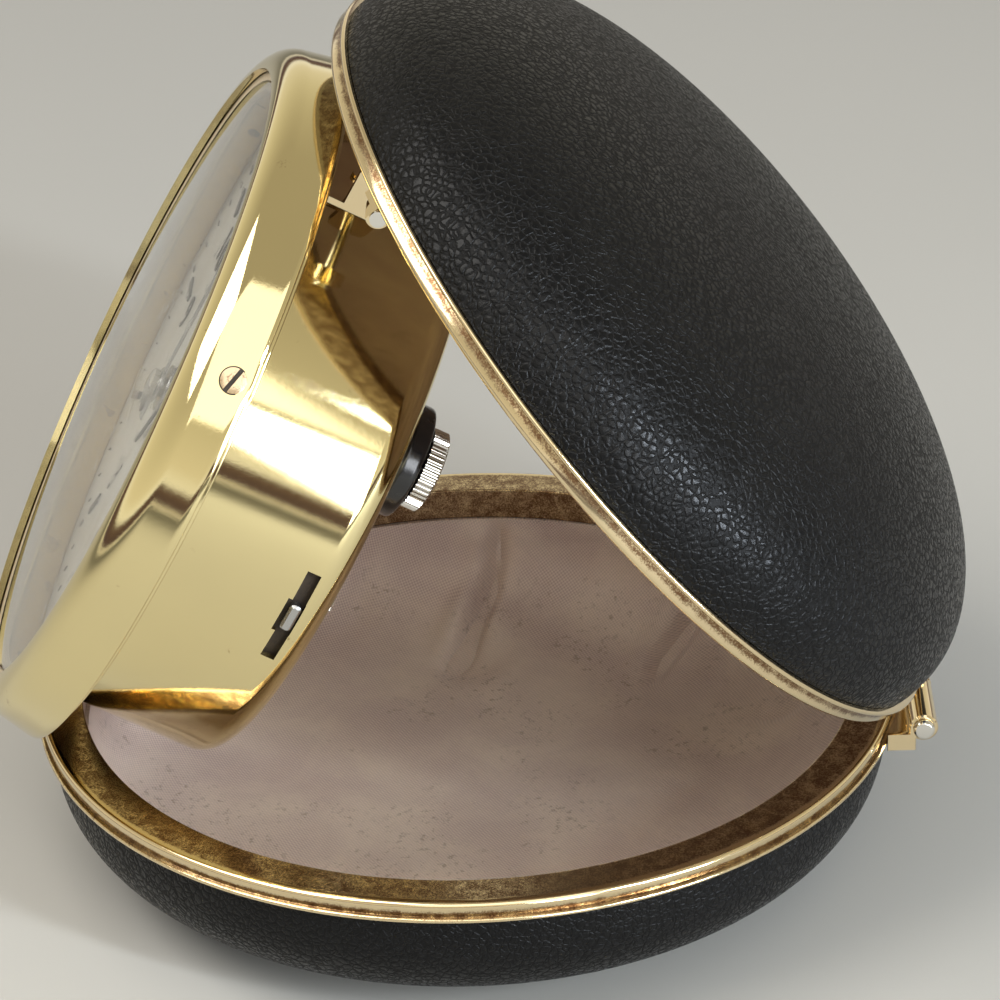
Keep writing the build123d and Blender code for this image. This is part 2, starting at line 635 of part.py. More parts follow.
def make_bezel():
    """The front: bezel, its screws and their ring, crystal and gasket."""
    mid_r = (BEZEL_RIDGE_R + BEZEL_LIP_R) / 2 + BEZEL_BULGE
    mid_h = (BEZEL_RIDGE_H + BEZEL_LIP_H) / 2 + BEZEL_BULGE
    skirt_r = BEZEL_R - BEZEL_SKIRT_T
    outside = ThreePointArc((BEZEL_RIDGE_R, BEZEL_RIDGE_H), (mid_r, mid_h), (BEZEL_LIP_R, BEZEL_LIP_H))
    inside = ThreePointArc((BEZEL_LIP_R, BEZEL_LIP_H - BEZEL_T), (mid_r - BEZEL_T, mid_h - BEZEL_T),
                           (skirt_r - BEZEL_T, BEZEL_RIDGE_H - BEZEL_T))
    edges = Line((BEZEL_R, -BEZEL_TUCK), (BEZEL_RIDGE_R, BEZEL_RIDGE_H)) + outside
    edges += Line((BEZEL_LIP_R, BEZEL_LIP_H), (BEZEL_LIP_R, BEZEL_LIP_H - BEZEL_T)) + inside
    edges += Polyline((skirt_r - BEZEL_T, BEZEL_RIDGE_H - BEZEL_T), (skirt_r, 0), (skirt_r, -BEZEL_TUCK),
                      (BEZEL_R, -BEZEL_TUCK))
    bezel = turned(Plane.XZ * edges)
    ring = tube(COLLAR_R, COLLAR_R - COLLAR_T, SEAT_GAP, COLLAR_H)
    screws = None
    for frame in screw_places():
        seat = frame * disc(SCREW_HEAD_R + SCREW_FIT, SCREW_SEAT_R, CASE_R)
        hole = frame * disc(SCREW_SHANK_R + SCREW_FIT, GASKET_SEAT_R, CASE_R)
        bezel -= seat
        bezel -= hole
        ring -= hole
        head = disc(SCREW_HEAD_R, SCREW_SEAT_R + SKIN_GAP, SCREW_SEAT_R + SKIN_GAP + SCREW_HEAD_T)
        top = SCREW_SEAT_R + SKIN_GAP + SCREW_HEAD_T
        reach = SCREW_HEAD_R + CUT
        head -= block(-reach, reach, -SLOT_W / 2, SLOT_W / 2, top - SLOT_D, top + CUT)
        screw = frame * (head + disc(SCREW_SHANK_R, COLLAR_R - COLLAR_T, SCREW_SEAT_R + SKIN_GAP))
        screws = screw if screws is None else screws + screw
    keep("bezel", CLOCK * bezel)
    keep("screw_ring", CLOCK * ring)
    keep("bezel_screws", CLOCK * screws)

    edge_rear = CRYSTAL_EDGE_H - CRYSTAL_T
    seat_top = edge_rear - SEAT_GAP
    gasket = tube(GASKET_R, GASKET_LIP_R, seat_top, CRYSTAL_EDGE_H)
    gasket += tube(GASKET_R, GASKET_SEAT_R, seat_top - GASKET_SEAT_T, seat_top)
    keep("crystal_gasket", CLOCK * gasket)
    crystal_r = GASKET_LIP_R - SEAT_GAP
    top = CRYSTAL_EDGE_H + CRYSTAL_CROWN
    rear_top = edge_rear + CRYSTAL_CROWN
    dome = ThreePointArc((crystal_r, CRYSTAL_EDGE_H), at_crown(crystal_r, CRYSTAL_EDGE_H), (0, top))
    dome += Line((0, top), (0, rear_top))
    dome += ThreePointArc((0, rear_top), at_crown(crystal_r, edge_rear), (crystal_r, edge_rear))
    dome += Line((crystal_r, edge_rear), (crystal_r, CRYSTAL_EDGE_H))
    keep("crystal", CLOCK * turned(Plane.XZ * dome))


def at_crown(radius, edge_h):
    """A point half way up the crystal's dome, on the circle through its edge and its top."""
    ball = (radius ** 2 + CRYSTAL_CROWN ** 2) / (2 * CRYSTAL_CROWN)
    half_r = radius / 2
    return (half_r, edge_h + CRYSTAL_CROWN - ball + math.sqrt(ball ** 2 - half_r ** 2))


def make_dial():
    """Dial and its twelve hour markers."""
    keep("dial", CLOCK * tube(DIAL_R, DIAL_HOLE_R, SEAT_GAP, SEAT_GAP + DIAL_T))
    bottom = SEAT_GAP + DIAL_T + SKIN_GAP
    markers = None
    for hour in range(12):
        length = MARKER_LONG_L if hour % 3 == 0 else MARKER_L
        inner = MARKER_RING_R - length
        bar = block(inner, MARKER_RING_R, -MARKER_W / 2, MARKER_W / 2, bottom, bottom + MARKER_T)
        bar = Rot(Z=hour * 30) * bar
        markers = bar if markers is None else markers + bar
    keep("hour_markers", CLOCK * markers)


def hand(length, width, bore, height):
    """A tapered hand that points to +Y, on its pipe."""
    points = [(0, length), (-width / 2, length * HAND_SHOULDER_SHARE), (-width / 4, 0), (-width / 2, -HAND_TAIL),
              (width / 2, -HAND_TAIL), (width / 4, 0), (width / 2, length * HAND_SHOULDER_SHARE)]
    body = Pos(0, 0, height) * extrude(make_face(Polyline(*points, close=True)), HAND_T)
    body += disc(bore + HAND_BOSS_T, height, height + HAND_T)
    return body - disc(bore + SEAT_GAP, height - CUT, height + HAND_T + CUT)


def make_hands():
    """The three hands, each on its own pipe, and the nut in front."""
    keep_at("minute_hand", CENTRE, MINUTE_ANGLE, hand(MINUTE_HAND_L, MINUTE_HAND_W, CANNON_R, MINUTE_HAND_H))
    keep_at("hour_hand", CENTRE, HOUR_ANGLE, hand(HOUR_HAND_L, HOUR_HAND_W, HOUR_PIPE_R, HOUR_HAND_H))
    keep_at("alarm_hand", CENTRE, ALARM_ANGLE, hand(ALARM_HAND_L, ALARM_HAND_W, ALARM_PIPE_R, ALARM_HAND_H))
    nut = disc(HUB_R, MINUTE_HAND_H + HAND_T + SKIN_GAP, HUB_CAP_H)
    nut -= disc(CANNON_R + SEAT_GAP, 0, HUB_CAP_H - HAND_T)
    keep_at("hand_nut", CENTRE, 0, nut)


def slot_cut(length, width):
    """A radial cut through the drum's side at the lever's place."""
    turn = Rot(Z=LEVER_ANGLE)
    return turn * block(INNER_DRUM_R - CUT, DRUM_R + CUT, -length / 2, length / 2,
                        -LEVER_BEHIND - width / 2, -LEVER_BEHIND + width / 2)


def make_drum():
    """The drum behind the bezel, with its flange, lever slot and holes."""
    out_corner = at_angle(DRUM_ROUND, -45)
    in_round = DRUM_ROUND - DRUM_T
    in_corner = at_angle(in_round, -45)
    centre = (DRUM_R - DRUM_ROUND, BACK + DRUM_ROUND)
    edges = Polyline((INNER_DRUM_R, 0), (FLANGE_R, 0), (FLANGE_R, -FLANGE_T), (DRUM_R, -FLANGE_T),
                     (DRUM_R, BACK + DRUM_ROUND))
    edges += ThreePointArc((DRUM_R, BACK + DRUM_ROUND), (centre[0] + out_corner[0], centre[1] + out_corner[1]),
                           (DRUM_R - DRUM_ROUND, BACK))
    flat_r = DRUM_R - DRUM_ROUND
    edges += Polyline((flat_r, BACK), (0, BACK), (0, BACK + DRUM_T), (flat_r, BACK + DRUM_T))
    edges += ThreePointArc((DRUM_R - DRUM_ROUND, BACK + DRUM_T), (centre[0] + in_corner[0], centre[1] + in_corner[1]),
                           (INNER_DRUM_R, BACK + DRUM_ROUND))
    edges += Line((INNER_DRUM_R, BACK + DRUM_ROUND), (INNER_DRUM_R, 0))
    drum = turned(Plane.XZ * edges)
    drum -= slot_cut(LEVER_SLOT_L, LEVER_SLOT_W)
    drum -= slot_cut(LEVER_MOUTH_L, LEVER_MOUTH_W)
    drum -= disc(SET_TUBE_R + HOLE_GAP, BACK - CUT, BACK + DRUM_T + CUT, *KNOB)
    for place in WOUND_ARBORS:
        drum -= disc(KEY_ARBOR_R + HOLE_GAP, BACK - CUT, BACK + DRUM_T + CUT, *place)
    keep("case_drum", CLOCK * drum)


def make_plates():
    """The two plates, the pillars between them and the clicks behind."""
    front = disc(PLATE_R, -FRONT_PLATE_TOP - PLATE_T, -FRONT_PLATE_TOP)
    rear = disc(PLATE_R, -REAR_PLATE_TOP - PLATE_T, -REAR_PLATE_TOP)
    for angle in PILLAR_ANGLES:
        low = -FRONT_PLATE_TOP - PLATE_T
        lug = block(0, CASE_R, -PLATE_LUG_W / 2, PLATE_LUG_W / 2, low, -FRONT_PLATE_TOP)
        front += (Rot(Z=angle) * lug) & disc(INNER_DRUM_R - SKIN_GAP, -DRUM_DEPTH, 0)
    top = CUT
    bottom = -DRUM_DEPTH
    for place in THIN_PIVOTS:
        bore = PIVOT_R if place is not CENTRE else ARBOR_R
        front -= disc(bore + PIVOT_FIT, bottom, top, *place)
        rear -= disc(PIVOT_R + PIVOT_FIT, bottom, top, *place)
    for place in WOUND_ARBORS:
        front -= disc(PIVOT_R + PIVOT_FIT, bottom, top, *place)
        rear -= disc(KEY_ARBOR_R + PIVOT_FIT, bottom, top, *place)
    front -= disc(PIVOT_R + PIVOT_FIT, bottom, top, *MINUTE)
    front -= disc(SET_TUBE_R + PIVOT_FIT, bottom, top, *KNOB)
    rear -= disc(SET_TUBE_R + PIVOT_FIT, bottom, top, *KNOB)
    pillars = None
    for angle in PILLAR_ANGLES:
        place = at_angle(PILLAR_RING_R, angle)
        pillar = disc(PILLAR_R, -REAR_PLATE_TOP + SKIN_GAP, -FRONT_PLATE_TOP - PLATE_T - SKIN_GAP, *place)
        rear_face = -REAR_PLATE_TOP - PLATE_T - SKIN_GAP
        pillar += disc(PILLAR_NECK_R, rear_face, -FRONT_PLATE_TOP, *place)
        pillar += disc(PILLAR_HEAD_R, rear_face - PILLAR_HEAD_T, rear_face, *place)
        for plate_top in (FRONT_PLATE_TOP, REAR_PLATE_TOP):
            hole = disc(PILLAR_NECK_R + SEAT_GAP, -plate_top - PLATE_T - CUT, -plate_top + CUT, *place)
            front -= hole
            rear -= hole
        pillars = pillar if pillars is None else pillars + pillar
    clicks = None
    for place in WOUND_ARBORS:
        pawl = block(RATCHET_R + CLICK_GAP, RATCHET_R + CLICK_GAP + CLICK_L, -CLICK_W / 2, CLICK_W / 2,
                     -RATCHET_TOP - RATCHET_T, -REAR_PLATE_TOP - PLATE_T - SKIN_GAP)
        pawl = Pos(*place, 0) * Rot(Z=CLICK_ANGLE) * pawl
        clicks = pawl if clicks is None else clicks + pawl
    keep("front_plate", CLOCK * front)
    keep("rear_plate", CLOCK * rear)
    keep("plate_pillars", CLOCK * pillars)
    keep("winding_clicks", CLOCK * clicks)


def make_train():
    """Centre, third, fourth and escape wheels, pallets, balance and its spring."""
    centre = wheel(TRAIN_TEETH, TRAIN_MODULE, CENTRE_LAYER, WHEEL_T) + arbor()
    centre += pinion(CENTRE_LEAVES, BARREL_MODULE, BARREL_TOP - END_SHAKE, BARREL_TOOTH_T + 2 * END_SHAKE)
    centre += disc(ARBOR_R, -FRONT_PLATE_TOP - PLATE_T, HUB_CAP_H - 2 * HAND_T)
    keep_at("centre_wheel", CENTRE, 0, centre)
    cannon = pinion(CANNON_TEETH, MOTION_MODULE, MINUTE_TOP, MOTION_T)
    cannon += disc(CANNON_R, -MINUTE_TOP - MOTION_T, MINUTE_HAND_H + HAND_T)
    cannon -= disc(ARBOR_R + SEAT_GAP, -FRONT_PLATE_TOP, HUB_CAP_H)
    keep_at("cannon_pinion", CENTRE, 0, cannon)
    for name, place, turn, layer, driver in (
            ("third_wheel", THIRD, THIRD_PHASE, THIRD_LAYER, CENTRE_LAYER),
            ("fourth_wheel", FOURTH, FOURTH_PHASE, FOURTH_LAYER, THIRD_LAYER)):
        part = wheel(TRAIN_TEETH, TRAIN_MODULE, layer, WHEEL_T) + arbor()
        part += pinion(TRAIN_LEAVES, TRAIN_MODULE, driver - (PINION_L - WHEEL_T) / 2, PINION_L)
        keep_at(name, place, turn, part)
    escape = ratchet(ESCAPE_TEETH, ESCAPE_R, ESCAPE_TOOTH_D, -ESCAPE_LAYER - WHEEL_T, WHEEL_T) + arbor()
    escape += pinion(TRAIN_LEAVES, ESCAPE_MODULE, FOURTH_LAYER - (PINION_L - WHEEL_T) / 2, PINION_L)
    keep_at("escape_wheel", ESCAPE, 0, escape)

    rear = -ESCAPE_LAYER - WHEEL_T
    anchor = block(-PALLET_W / 2, PALLET_W / 2, -PALLET_REACH, PALLET_REACH, rear, rear + PALLET_T)
    for side in (-1, 1):
        y0, y1 = sorted((side * PALLET_REACH, side * (PALLET_REACH - PALLET_W)))
        anchor += block(-PALLET_DROP, 0, y0, y1, rear, rear + PALLET_T)
    anchor += block(0, FORK_L, -PALLET_W / 2, PALLET_W / 2, rear, rear + PALLET_T)
    keep_at("pallet_fork", PALLET, PALLET_ANGLE, anchor + arbor())

    rim_bottom = -BALANCE_LAYER - BALANCE_T
    balance = tube(BALANCE_R, BALANCE_R - BALANCE_RIM, rim_bottom, -BALANCE_LAYER)
    inside = BALANCE_R - BALANCE_RIM / 2
    balance += block(-inside, inside, -SPOKE_W / 2, SPOKE_W / 2, rim_bottom, -BALANCE_LAYER)
    keep_at("balance_wheel", BALANCE, 0, balance + arbor())
    spring_top = -BALANCE_LAYER - BALANCE_T - SPRING_DROP
    coils = None
    for i in range(SPRING_COILS):
        outer = SPRING_R - i * (SPRING_T + SPRING_GAP)
        coil = tube(outer, outer - SPRING_T, spring_top - SPRING_T, spring_top)
        coils = coil if coils is None else coils + coil
    low = spring_top - SPRING_T
    coils += block(ARBOR_R + SKIN_GAP, SPRING_R, -SPRING_T / 2, SPRING_T / 2, low, spring_top)
    keep_at("hairspring", BALANCE, 0, coils)


def make_barrel(name, place, turn):
    """A toothed barrel, its wound arbor with the ratchet wheel, and the key on the back."""
    side_r = BARREL_MODULE * (BARREL_TEETH / 2 - DEDENDUM_SHARE) - BARREL_SIDE
    top = -BARREL_TOP
    drum = disc(side_r, top - BARREL_H, top)
    drum -= disc(side_r - DRUM_T, top - BARREL_H + DRUM_T, top - DRUM_T)
    module = BARREL_MODULE if place is BARREL else STRIKE_MODULE
    teeth = gear(BARREL_TEETH, module, TOOTH_SHARE, top - BARREL_TOOTH_T, BARREL_TOOTH_T)
    drum += teeth - disc(side_r - DRUM_T, top - BARREL_H, top - DRUM_T)
    drum -= disc(KEY_ARBOR_R + PIVOT_FIT, -DRUM_DEPTH, 0)
    keep_at(name + "_barrel", place, turn, drum)

    spring = None
    for i in range(MAINSPRING_COILS):
        outer = side_r - DRUM_T - MAINSPRING_FIT - i * MAINSPRING_STEP
        low = top - BARREL_H + DRUM_T + END_SHAKE
        coil = tube(outer, outer - MAINSPRING_T, low, top - DRUM_T - END_SHAKE)
        spring = coil if spring is None else spring + coil
    keep_at(name + "_mainspring", place, 0, spring)

    key_face = BACK - KEY_GAP
    wound = disc(KEY_ARBOR_R, key_face, -FRONT_PLATE_TOP - PLATE_T - END_SHAKE)
    wound += disc(PIVOT_R, -FRONT_PLATE_TOP - PLATE_T - END_SHAKE, -FRONT_PLATE_TOP)
    wound += ratchet(RATCHET_TEETH, RATCHET_R, RATCHET_TOOTH_D, -RATCHET_TOP - RATCHET_T, RATCHET_T)
    keep_at(name + "_winding_arbor", place, 0, wound)
    key = disc(KEY_HUB_R, key_face - KEY_HUB_H, key_face - SKIN_GAP)
    wing = block(-KEY_WING_L, KEY_WING_L, -KEY_WING_W / 2, KEY_WING_W / 2, key_face - KEY_HUB_H - KEY_WING_T,
                 key_face - KEY_HUB_H)
    key += fillet(wing.edges().filter_by(Axis.Z), KEY_WING_W * KEY_ROUND_SHARE)
    keep_at(name + "_winding_key", place, KEY_ANGLE, key)


def make_motion_work():
    """Wheels between the dial and the front plate, and the setting arbors with their knobs."""
    minute = wheel(MINUTE_WHEEL_TEETH, MOTION_MODULE, MINUTE_TOP, MOTION_T)
    minute += pinion(MINUTE_PINION_TEETH, HOUR_MODULE, HOUR_TOP, MINUTE_TOP - HOUR_TOP)
    minute += disc(ARBOR_R, -MINUTE_TOP, -ALARM_TOP - MOTION_T - END_SHAKE / 2)
    minute += disc(PIVOT_R, -FRONT_PLATE_TOP - PLATE_T, -MINUTE_TOP)
    keep_at("minute_wheel", MINUTE, MINUTE_PHASE, minute)

    hour = wheel(HOUR_TEETH, HOUR_MODULE, HOUR_TOP, MOTION_T)
    hour += disc(HOUR_PIPE_R, -HOUR_TOP - MOTION_T, HOUR_HAND_H + HAND_T)
    hour -= disc(CANNON_R + PIPE_FIT, -FRONT_PLATE_TOP, HUB_CAP_H)
    keep_at("hour_wheel", CENTRE, HOUR_PHASE, hour)

    alarm = wheel(ALARM_TEETH, ALARM_MODULE, ALARM_TOP, MOTION_T)
    alarm += disc(ALARM_PIPE_R, -ALARM_TOP - MOTION_T, ALARM_HAND_H + HAND_T)
    alarm -= disc(HOUR_PIPE_R + PIPE_FIT, -FRONT_PLATE_TOP, HUB_CAP_H)
    keep_at("alarm_wheel", CENTRE, ALARM_PHASE, alarm)

    set_face = BACK - KNOB_GAP
    set_part = gear(SET_TEETH, MOTION_MODULE, TOOTH_SHARE, -MINUTE_TOP - MOTION_T, MOTION_T)
    set_part += disc(SET_TUBE_R, set_face - SET_KNOB_T + KNOB_GAP, -MINUTE_TOP)
    bore = disc(ALARM_ARBOR_R + PIPE_FIT, -CASE_R, CASE_R)
    keep_at("set_wheel", KNOB, SET_PHASE, set_part - bore)
    knob = disc(SET_KNOB_R, set_face - SET_KNOB_T, set_face)
    knob = fillet(knob.edges(), SET_KNOB_ROUND)
    knob -= disc(SET_TUBE_R + SEAT_GAP, set_face - SET_KNOB_T + KNOB_GAP - SEAT_GAP, CASE_R)
    keep_at("set_knob", KNOB, 0, knob - bore)

    alarm_face = set_face - SET_KNOB_T - KNOB_GAP
    setting = gear(ALARM_PINION_TEETH, ALARM_MODULE, LEAF_SHARE, -ALARM_TOP - MOTION_T, MOTION_T)
    setting += disc(ALARM_ARBOR_R, alarm_face - ALARM_KNOB_T + KNOB_GAP, -ALARM_TOP)
    keep_at("alarm_set_arbor", KNOB, 0, setting)
    points = []
    for i in range(2 * KNURL_COUNT):
        points.append(at_angle(ALARM_KNOB_R - (i % 2) * KNURL_D, 180 * i / KNURL_COUNT))
    edge = make_face(Polyline(*points, close=True))
    knurled = Pos(0, 0, alarm_face - ALARM_KNOB_T) * extrude(edge, ALARM_KNOB_T)
    knurled -= disc(ALARM_ARBOR_R + SEAT_GAP, alarm_face - ALARM_KNOB_T + KNOB_GAP - SEAT_GAP, CASE_R)
    keep_at("alarm_set_knob", KNOB, 0, knurled)


def make_alarm_work():
    """Strike wheel, hammer and the shut-off lever in the drum's side."""
    strike = ratchet(STRIKE_TEETH, STRIKE_R, STRIKE_TOOTH_D, -THIRD_LAYER - WHEEL_T, WHEEL_T) + arbor()
    strike += pinion(STRIKE_LEAVES, STRIKE_MODULE, BARREL_TOP - END_SHAKE, BARREL_TOOTH_T + 2 * END_SHAKE)
    keep_at("strike_wheel", STRIKE, STRIKE_PHASE, strike)

    rear = -THIRD_LAYER - WHEEL_T
    hammer = block(0, HAMMER_L, -HAMMER_W / 2, HAMMER_W / 2, rear, rear + WHEEL_T)
    hammer += disc(HAMMER_HEAD_R, rear + WHEEL_T - HAMMER_HEAD_H, rear + WHEEL_T, HAMMER_L, 0)
    keep_at("alarm_hammer", HAMMER, HAMMER_ANGLE, hammer + arbor())

    outer = INNER_DRUM_R - LEVER_GAP
    half = math.degrees(LEVER_STRIP_L / 2 / outer)
    bottom = -LEVER_BEHIND - LEVER_STRIP_H / 2
    strip = tube(outer, outer - LEVER_STRIP_T, bottom, bottom + LEVER_STRIP_H)
    reach = CASE_R
    corner_a = at_angle(reach, -half)
    corner_b = at_angle(reach, half)
    wedge = Pos(0, 0, bottom - CUT) * extrude(make_face(Polyline((0, 0), corner_a, corner_b, close=True)),
                                              LEVER_STRIP_H + 2 * CUT)
    lever = strip & wedge
    lever += block(outer - LEVER_STRIP_T / 2, DRUM_R + LEVER_OUT, -LEVER_TAB_L / 2, LEVER_TAB_L / 2,
                   -LEVER_BEHIND - LEVER_TAB_W / 2, -LEVER_BEHIND + LEVER_TAB_W / 2)
    keep_at("alarm_lever", CENTRE, LEVER_ANGLE, lever)


make_base()
make_lid()
make_rear_hinge()
make_front_hinge()
make_bezel()
make_dial()
make_hands()
make_drum()
make_plates()
make_train()
make_barrel("going", BARREL, BARREL_PHASE)
make_barrel("alarm", ALARM, 0)
make_motion_work()
make_alarm_work()
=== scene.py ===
# %% [markdown]
# # A folding travel clock
#
# The object is a round clamshell case in pebbled leather. Its lid stands open at the back, and a polished drum
# clock hangs from the lid's front edge with the dial towards -Y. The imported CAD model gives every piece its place
# and size. This lesson gives the pieces that show a smooth surface and a worn, believable finish.

import json
import math

import bmesh
import bpy
import numpy as np
from mathutils import Matrix


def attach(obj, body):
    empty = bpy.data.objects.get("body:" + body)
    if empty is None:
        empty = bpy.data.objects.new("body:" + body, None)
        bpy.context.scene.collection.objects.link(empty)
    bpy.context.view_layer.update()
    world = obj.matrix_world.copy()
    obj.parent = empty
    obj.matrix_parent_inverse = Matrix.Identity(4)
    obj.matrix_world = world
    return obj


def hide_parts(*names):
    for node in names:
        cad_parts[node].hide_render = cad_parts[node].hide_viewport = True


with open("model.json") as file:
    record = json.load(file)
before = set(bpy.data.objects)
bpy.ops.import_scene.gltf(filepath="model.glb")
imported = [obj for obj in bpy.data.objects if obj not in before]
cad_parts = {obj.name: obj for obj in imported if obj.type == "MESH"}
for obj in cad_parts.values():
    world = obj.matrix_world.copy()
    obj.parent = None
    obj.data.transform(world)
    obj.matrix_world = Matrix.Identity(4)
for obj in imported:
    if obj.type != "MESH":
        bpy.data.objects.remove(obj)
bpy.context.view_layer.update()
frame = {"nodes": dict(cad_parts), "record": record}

# %% [markdown]
# The sizes below are those of the part, in millimetres. Blender works in metres, so every mesh is scaled by MM
# once, when it is made. The lid and the clock lean, so each has a matrix that carries its own upright frame to
# its place. The clock hangs from a pivot that the open lid carries.

# %% Sizes and frames
MM = 0.001
CASE_R = 44.0
RIM_BAND = 2.1
RIM_LEDGE = 4.4
RIM_WALL = 3.5
BASE_EDGE_H = 16.0
BASE_TOP = BASE_EDGE_H + RIM_BAND
LEDGE_R = CASE_R - RIM_LEDGE
HINGE_Y = 45.7
LID_OPEN = 50.7
CLOCK_SLOPE = 61.0
PIVOT_ALONG = 79.5
PIVOT_DROP = 2.2
PIVOT_UP = 34.5
PIVOT_BEHIND = 5.1
TURNS = 384


def shift(x, y, z):
    """Matrix that moves a point by (x, y, z)."""
    move = np.eye(4)
    move[:3, 3] = (x, y, z)
    return move


def turn_plane(degrees, i, j):
    """Matrix that turns a point in the plane of axes i and j: i' = i cos - j sin, j' = i sin + j cos."""
    c, s = math.cos(math.radians(degrees)), math.sin(math.radians(degrees))
    turn = np.eye(4)
    turn[np.ix_((i, j), (i, j))] = ((c, -s), (s, c))
    return turn


def tilt(degrees):
    """Turn about X."""
    return turn_plane(degrees, 1, 2)


def swing(degrees):
    """Turn about Z."""
    return turn_plane(degrees, 0, 1)


BASE = np.eye(4)
LID = shift(0, HINGE_Y, BASE_TOP) @ tilt(-LID_OPEN) @ shift(0, -HINGE_Y, 0)
UPSIDE = np.diag((1.0, -1.0, -1.0, 1.0))
pivot = tilt(-LID_OPEN) @ np.array((0, -PIVOT_ALONG, -PIVOT_DROP, 1))
AT_PIVOT = shift(0, HINGE_Y + pivot[1], BASE_TOP + pivot[2])
CLOCK = AT_PIVOT @ tilt(CLOCK_SLOPE) @ shift(0, -PIVOT_UP, PIVOT_BEHIND)

# %% [markdown]
# Nearly every visible piece was spun or pressed on a lathe, so it is one profile carried round an axis. A profile
# is a list of (radius, height) points. `rounded` puts a small arc at each corner, because no real edge is sharp
# and a bright line along an edge is what makes metal look like metal. `turned` carries the profile round.

# %% Profiles and lathe
ARC_STEPS = 5
EASE = 0.25


def rounded(corners, radius, closed=True):
    """Profile through the corners, each replaced by a quadratic arc, p = (1-t)^2 a + 2t(1-t) c + t^2 b."""
    corners = np.asarray(corners, float)
    t = np.linspace(0, 1, ARC_STEPS)[:, None]
    out = []
    count = len(corners)
    for i, c in enumerate(corners):
        before, after = corners[i - 1] - c, corners[(i + 1) % count] - c
        long_a, long_b = np.linalg.norm(before), np.linalg.norm(after)
        if not closed and i in (0, count - 1) or c[0] < radius:
            out.append(c[None])
            continue
        cut = min(radius, 0.45 * long_a, 0.45 * long_b)
        a, b = c + before / long_a * cut, c + after / long_b * cut
        arc = (1 - t) ** 2 * a + 2 * t * (1 - t) * c + t**2 * b
        rest_a, rest_b = c + before / long_a * cut * (1 + EASE), c + after / long_b * cut * (1 + EASE)
        roomy = min(long_a, long_b) > 4 * cut
        out.append(np.vstack((rest_a[None], arc, rest_b[None])) if roomy else arc)
    return np.vstack(out)


def run_along(points):
    """How far along a curve each of its points is."""
    return np.concatenate(((0,), np.cumsum(np.linalg.norm(np.diff(points, axis=0), axis=1))))


def even(points, count):
    """The same curve with its points spread evenly along its length."""
    along = run_along(points)
    at = np.linspace(0, along[-1], count)
    return np.stack([np.interp(at, along, points[:, k]) for k in (0, 1)], 1)


def superellipse(radius, height, fullness):
    """Angles t and the curve r = R cos(t)^(2/e), h = H sin(t)^(2/e), from the rim to the pole."""
    t = np.linspace(0, math.pi / 2, 4000)
    curve = np.stack((radius * np.cos(t) ** (2 / fullness), height * np.sin(t) ** (2 / fullness)), 1)
    curve[-1] = (0, height)
    return t, curve


def bowl_profile(radius, height, fullness, flat=math.inf, count=90):
    """Superellipse from the rim to the pole or to a flat foot, in even steps."""
    curve = superellipse(radius, height, fullness)[1]
    curve[:, 1] = np.minimum(curve[:, 1], flat)
    return even(curve, count)


def box_section(r_low, r_high, low, high, radius):
    """Rectangle with rounded corners, the section of a plain ring or disc."""
    return rounded(((r_low, low), (r_high, low), (r_high, high), (r_low, high)), radius)


def around(r, a, h):
    """Points about Z: (r cos a, r sin a, h)."""
    return np.stack(np.broadcast_arrays(r * np.cos(a), r * np.sin(a), h), -1)


def unit(vectors):
    """Rows scaled to length one."""
    return vectors / np.maximum(np.linalg.norm(vectors, axis=1), 1e-9)[:, None]


def surface(points, closed_rows=False):
    """Vertices and quads of a grid of points whose columns close on themselves, as arrays."""
    rows, columns = points.shape[:2]
    index = np.arange(rows * columns).reshape(rows, columns)
    if closed_rows:
        index = np.vstack((index, index[:1]))
    index = np.hstack((index, index[:, :1]))
    quads = np.stack((index[:-1, :-1], index[1:, :-1], index[1:, 1:], index[:-1, 1:]), -1)
    return points.reshape(-1, 3), quads.reshape(-1, 4)


def capped(points):
    """A row of closed sections joined by quads, with one face over the first and one over the last."""
    verts, quads = surface(points)
    count = points.shape[1]
    ends = [tuple(range(count)), tuple(range(len(verts) - count, len(verts)))]
    return verts, [tuple(q) for q in quads.tolist()] + ends


def turned(profile, closed=True, turns=TURNS, angles=None):
    """Carry a profile round Z. Strips that lie on the axis are left out."""
    a = np.linspace(0, 2 * math.pi, turns, endpoint=False) if angles is None else angles
    verts, quads = surface(around(profile[:, :1], a, profile[:, 1:]), closed)
    on_axis = (np.hypot(verts[quads][..., 0], verts[quads][..., 1]) < 1e-6).all(1)
    return verts, quads[~on_axis]


def joined(*parts):
    """Several (vertices, faces) pairs as one."""
    verts, faces, start = [], [], 0
    for v, f in parts:
        verts.append(v)
        faces += [tuple(int(i) + start for i in face) for face in f]
        start += len(v)
    return np.vstack(verts), faces


def placed(part, matrix):
    """The same surface moved by a matrix."""
    verts, faces = part
    return verts @ matrix[:3, :3].T + matrix[:3, 3], faces


# %% [markdown]
# `piece` turns arrays into an object. It merges the points that meet at a pole or a seam, makes the faces point
# outwards, keeps corners crisp where two faces meet steeply, hangs the piece on the empty of the body it rides
# on, and hides the CAD node it stands for.

# %% Making a piece
CRISP = math.radians(38)
SAME_POINT, NO_LENGTH = 2e-7, 1e-8
BODY_OF = {node: body for body, nodes in frame["record"]["behaviour"]["bodies"].items() for node in nodes}
SLOT_OF = {row["node"]: row["material_slot"] for row in frame["record"]["subparts"]}


def scene_object(name, data):
    """An object in the scene that holds a mesh, text, a lamp or a camera."""
    made = bpy.data.objects.new(name, data)
    bpy.context.scene.collection.objects.link(made)
    return made


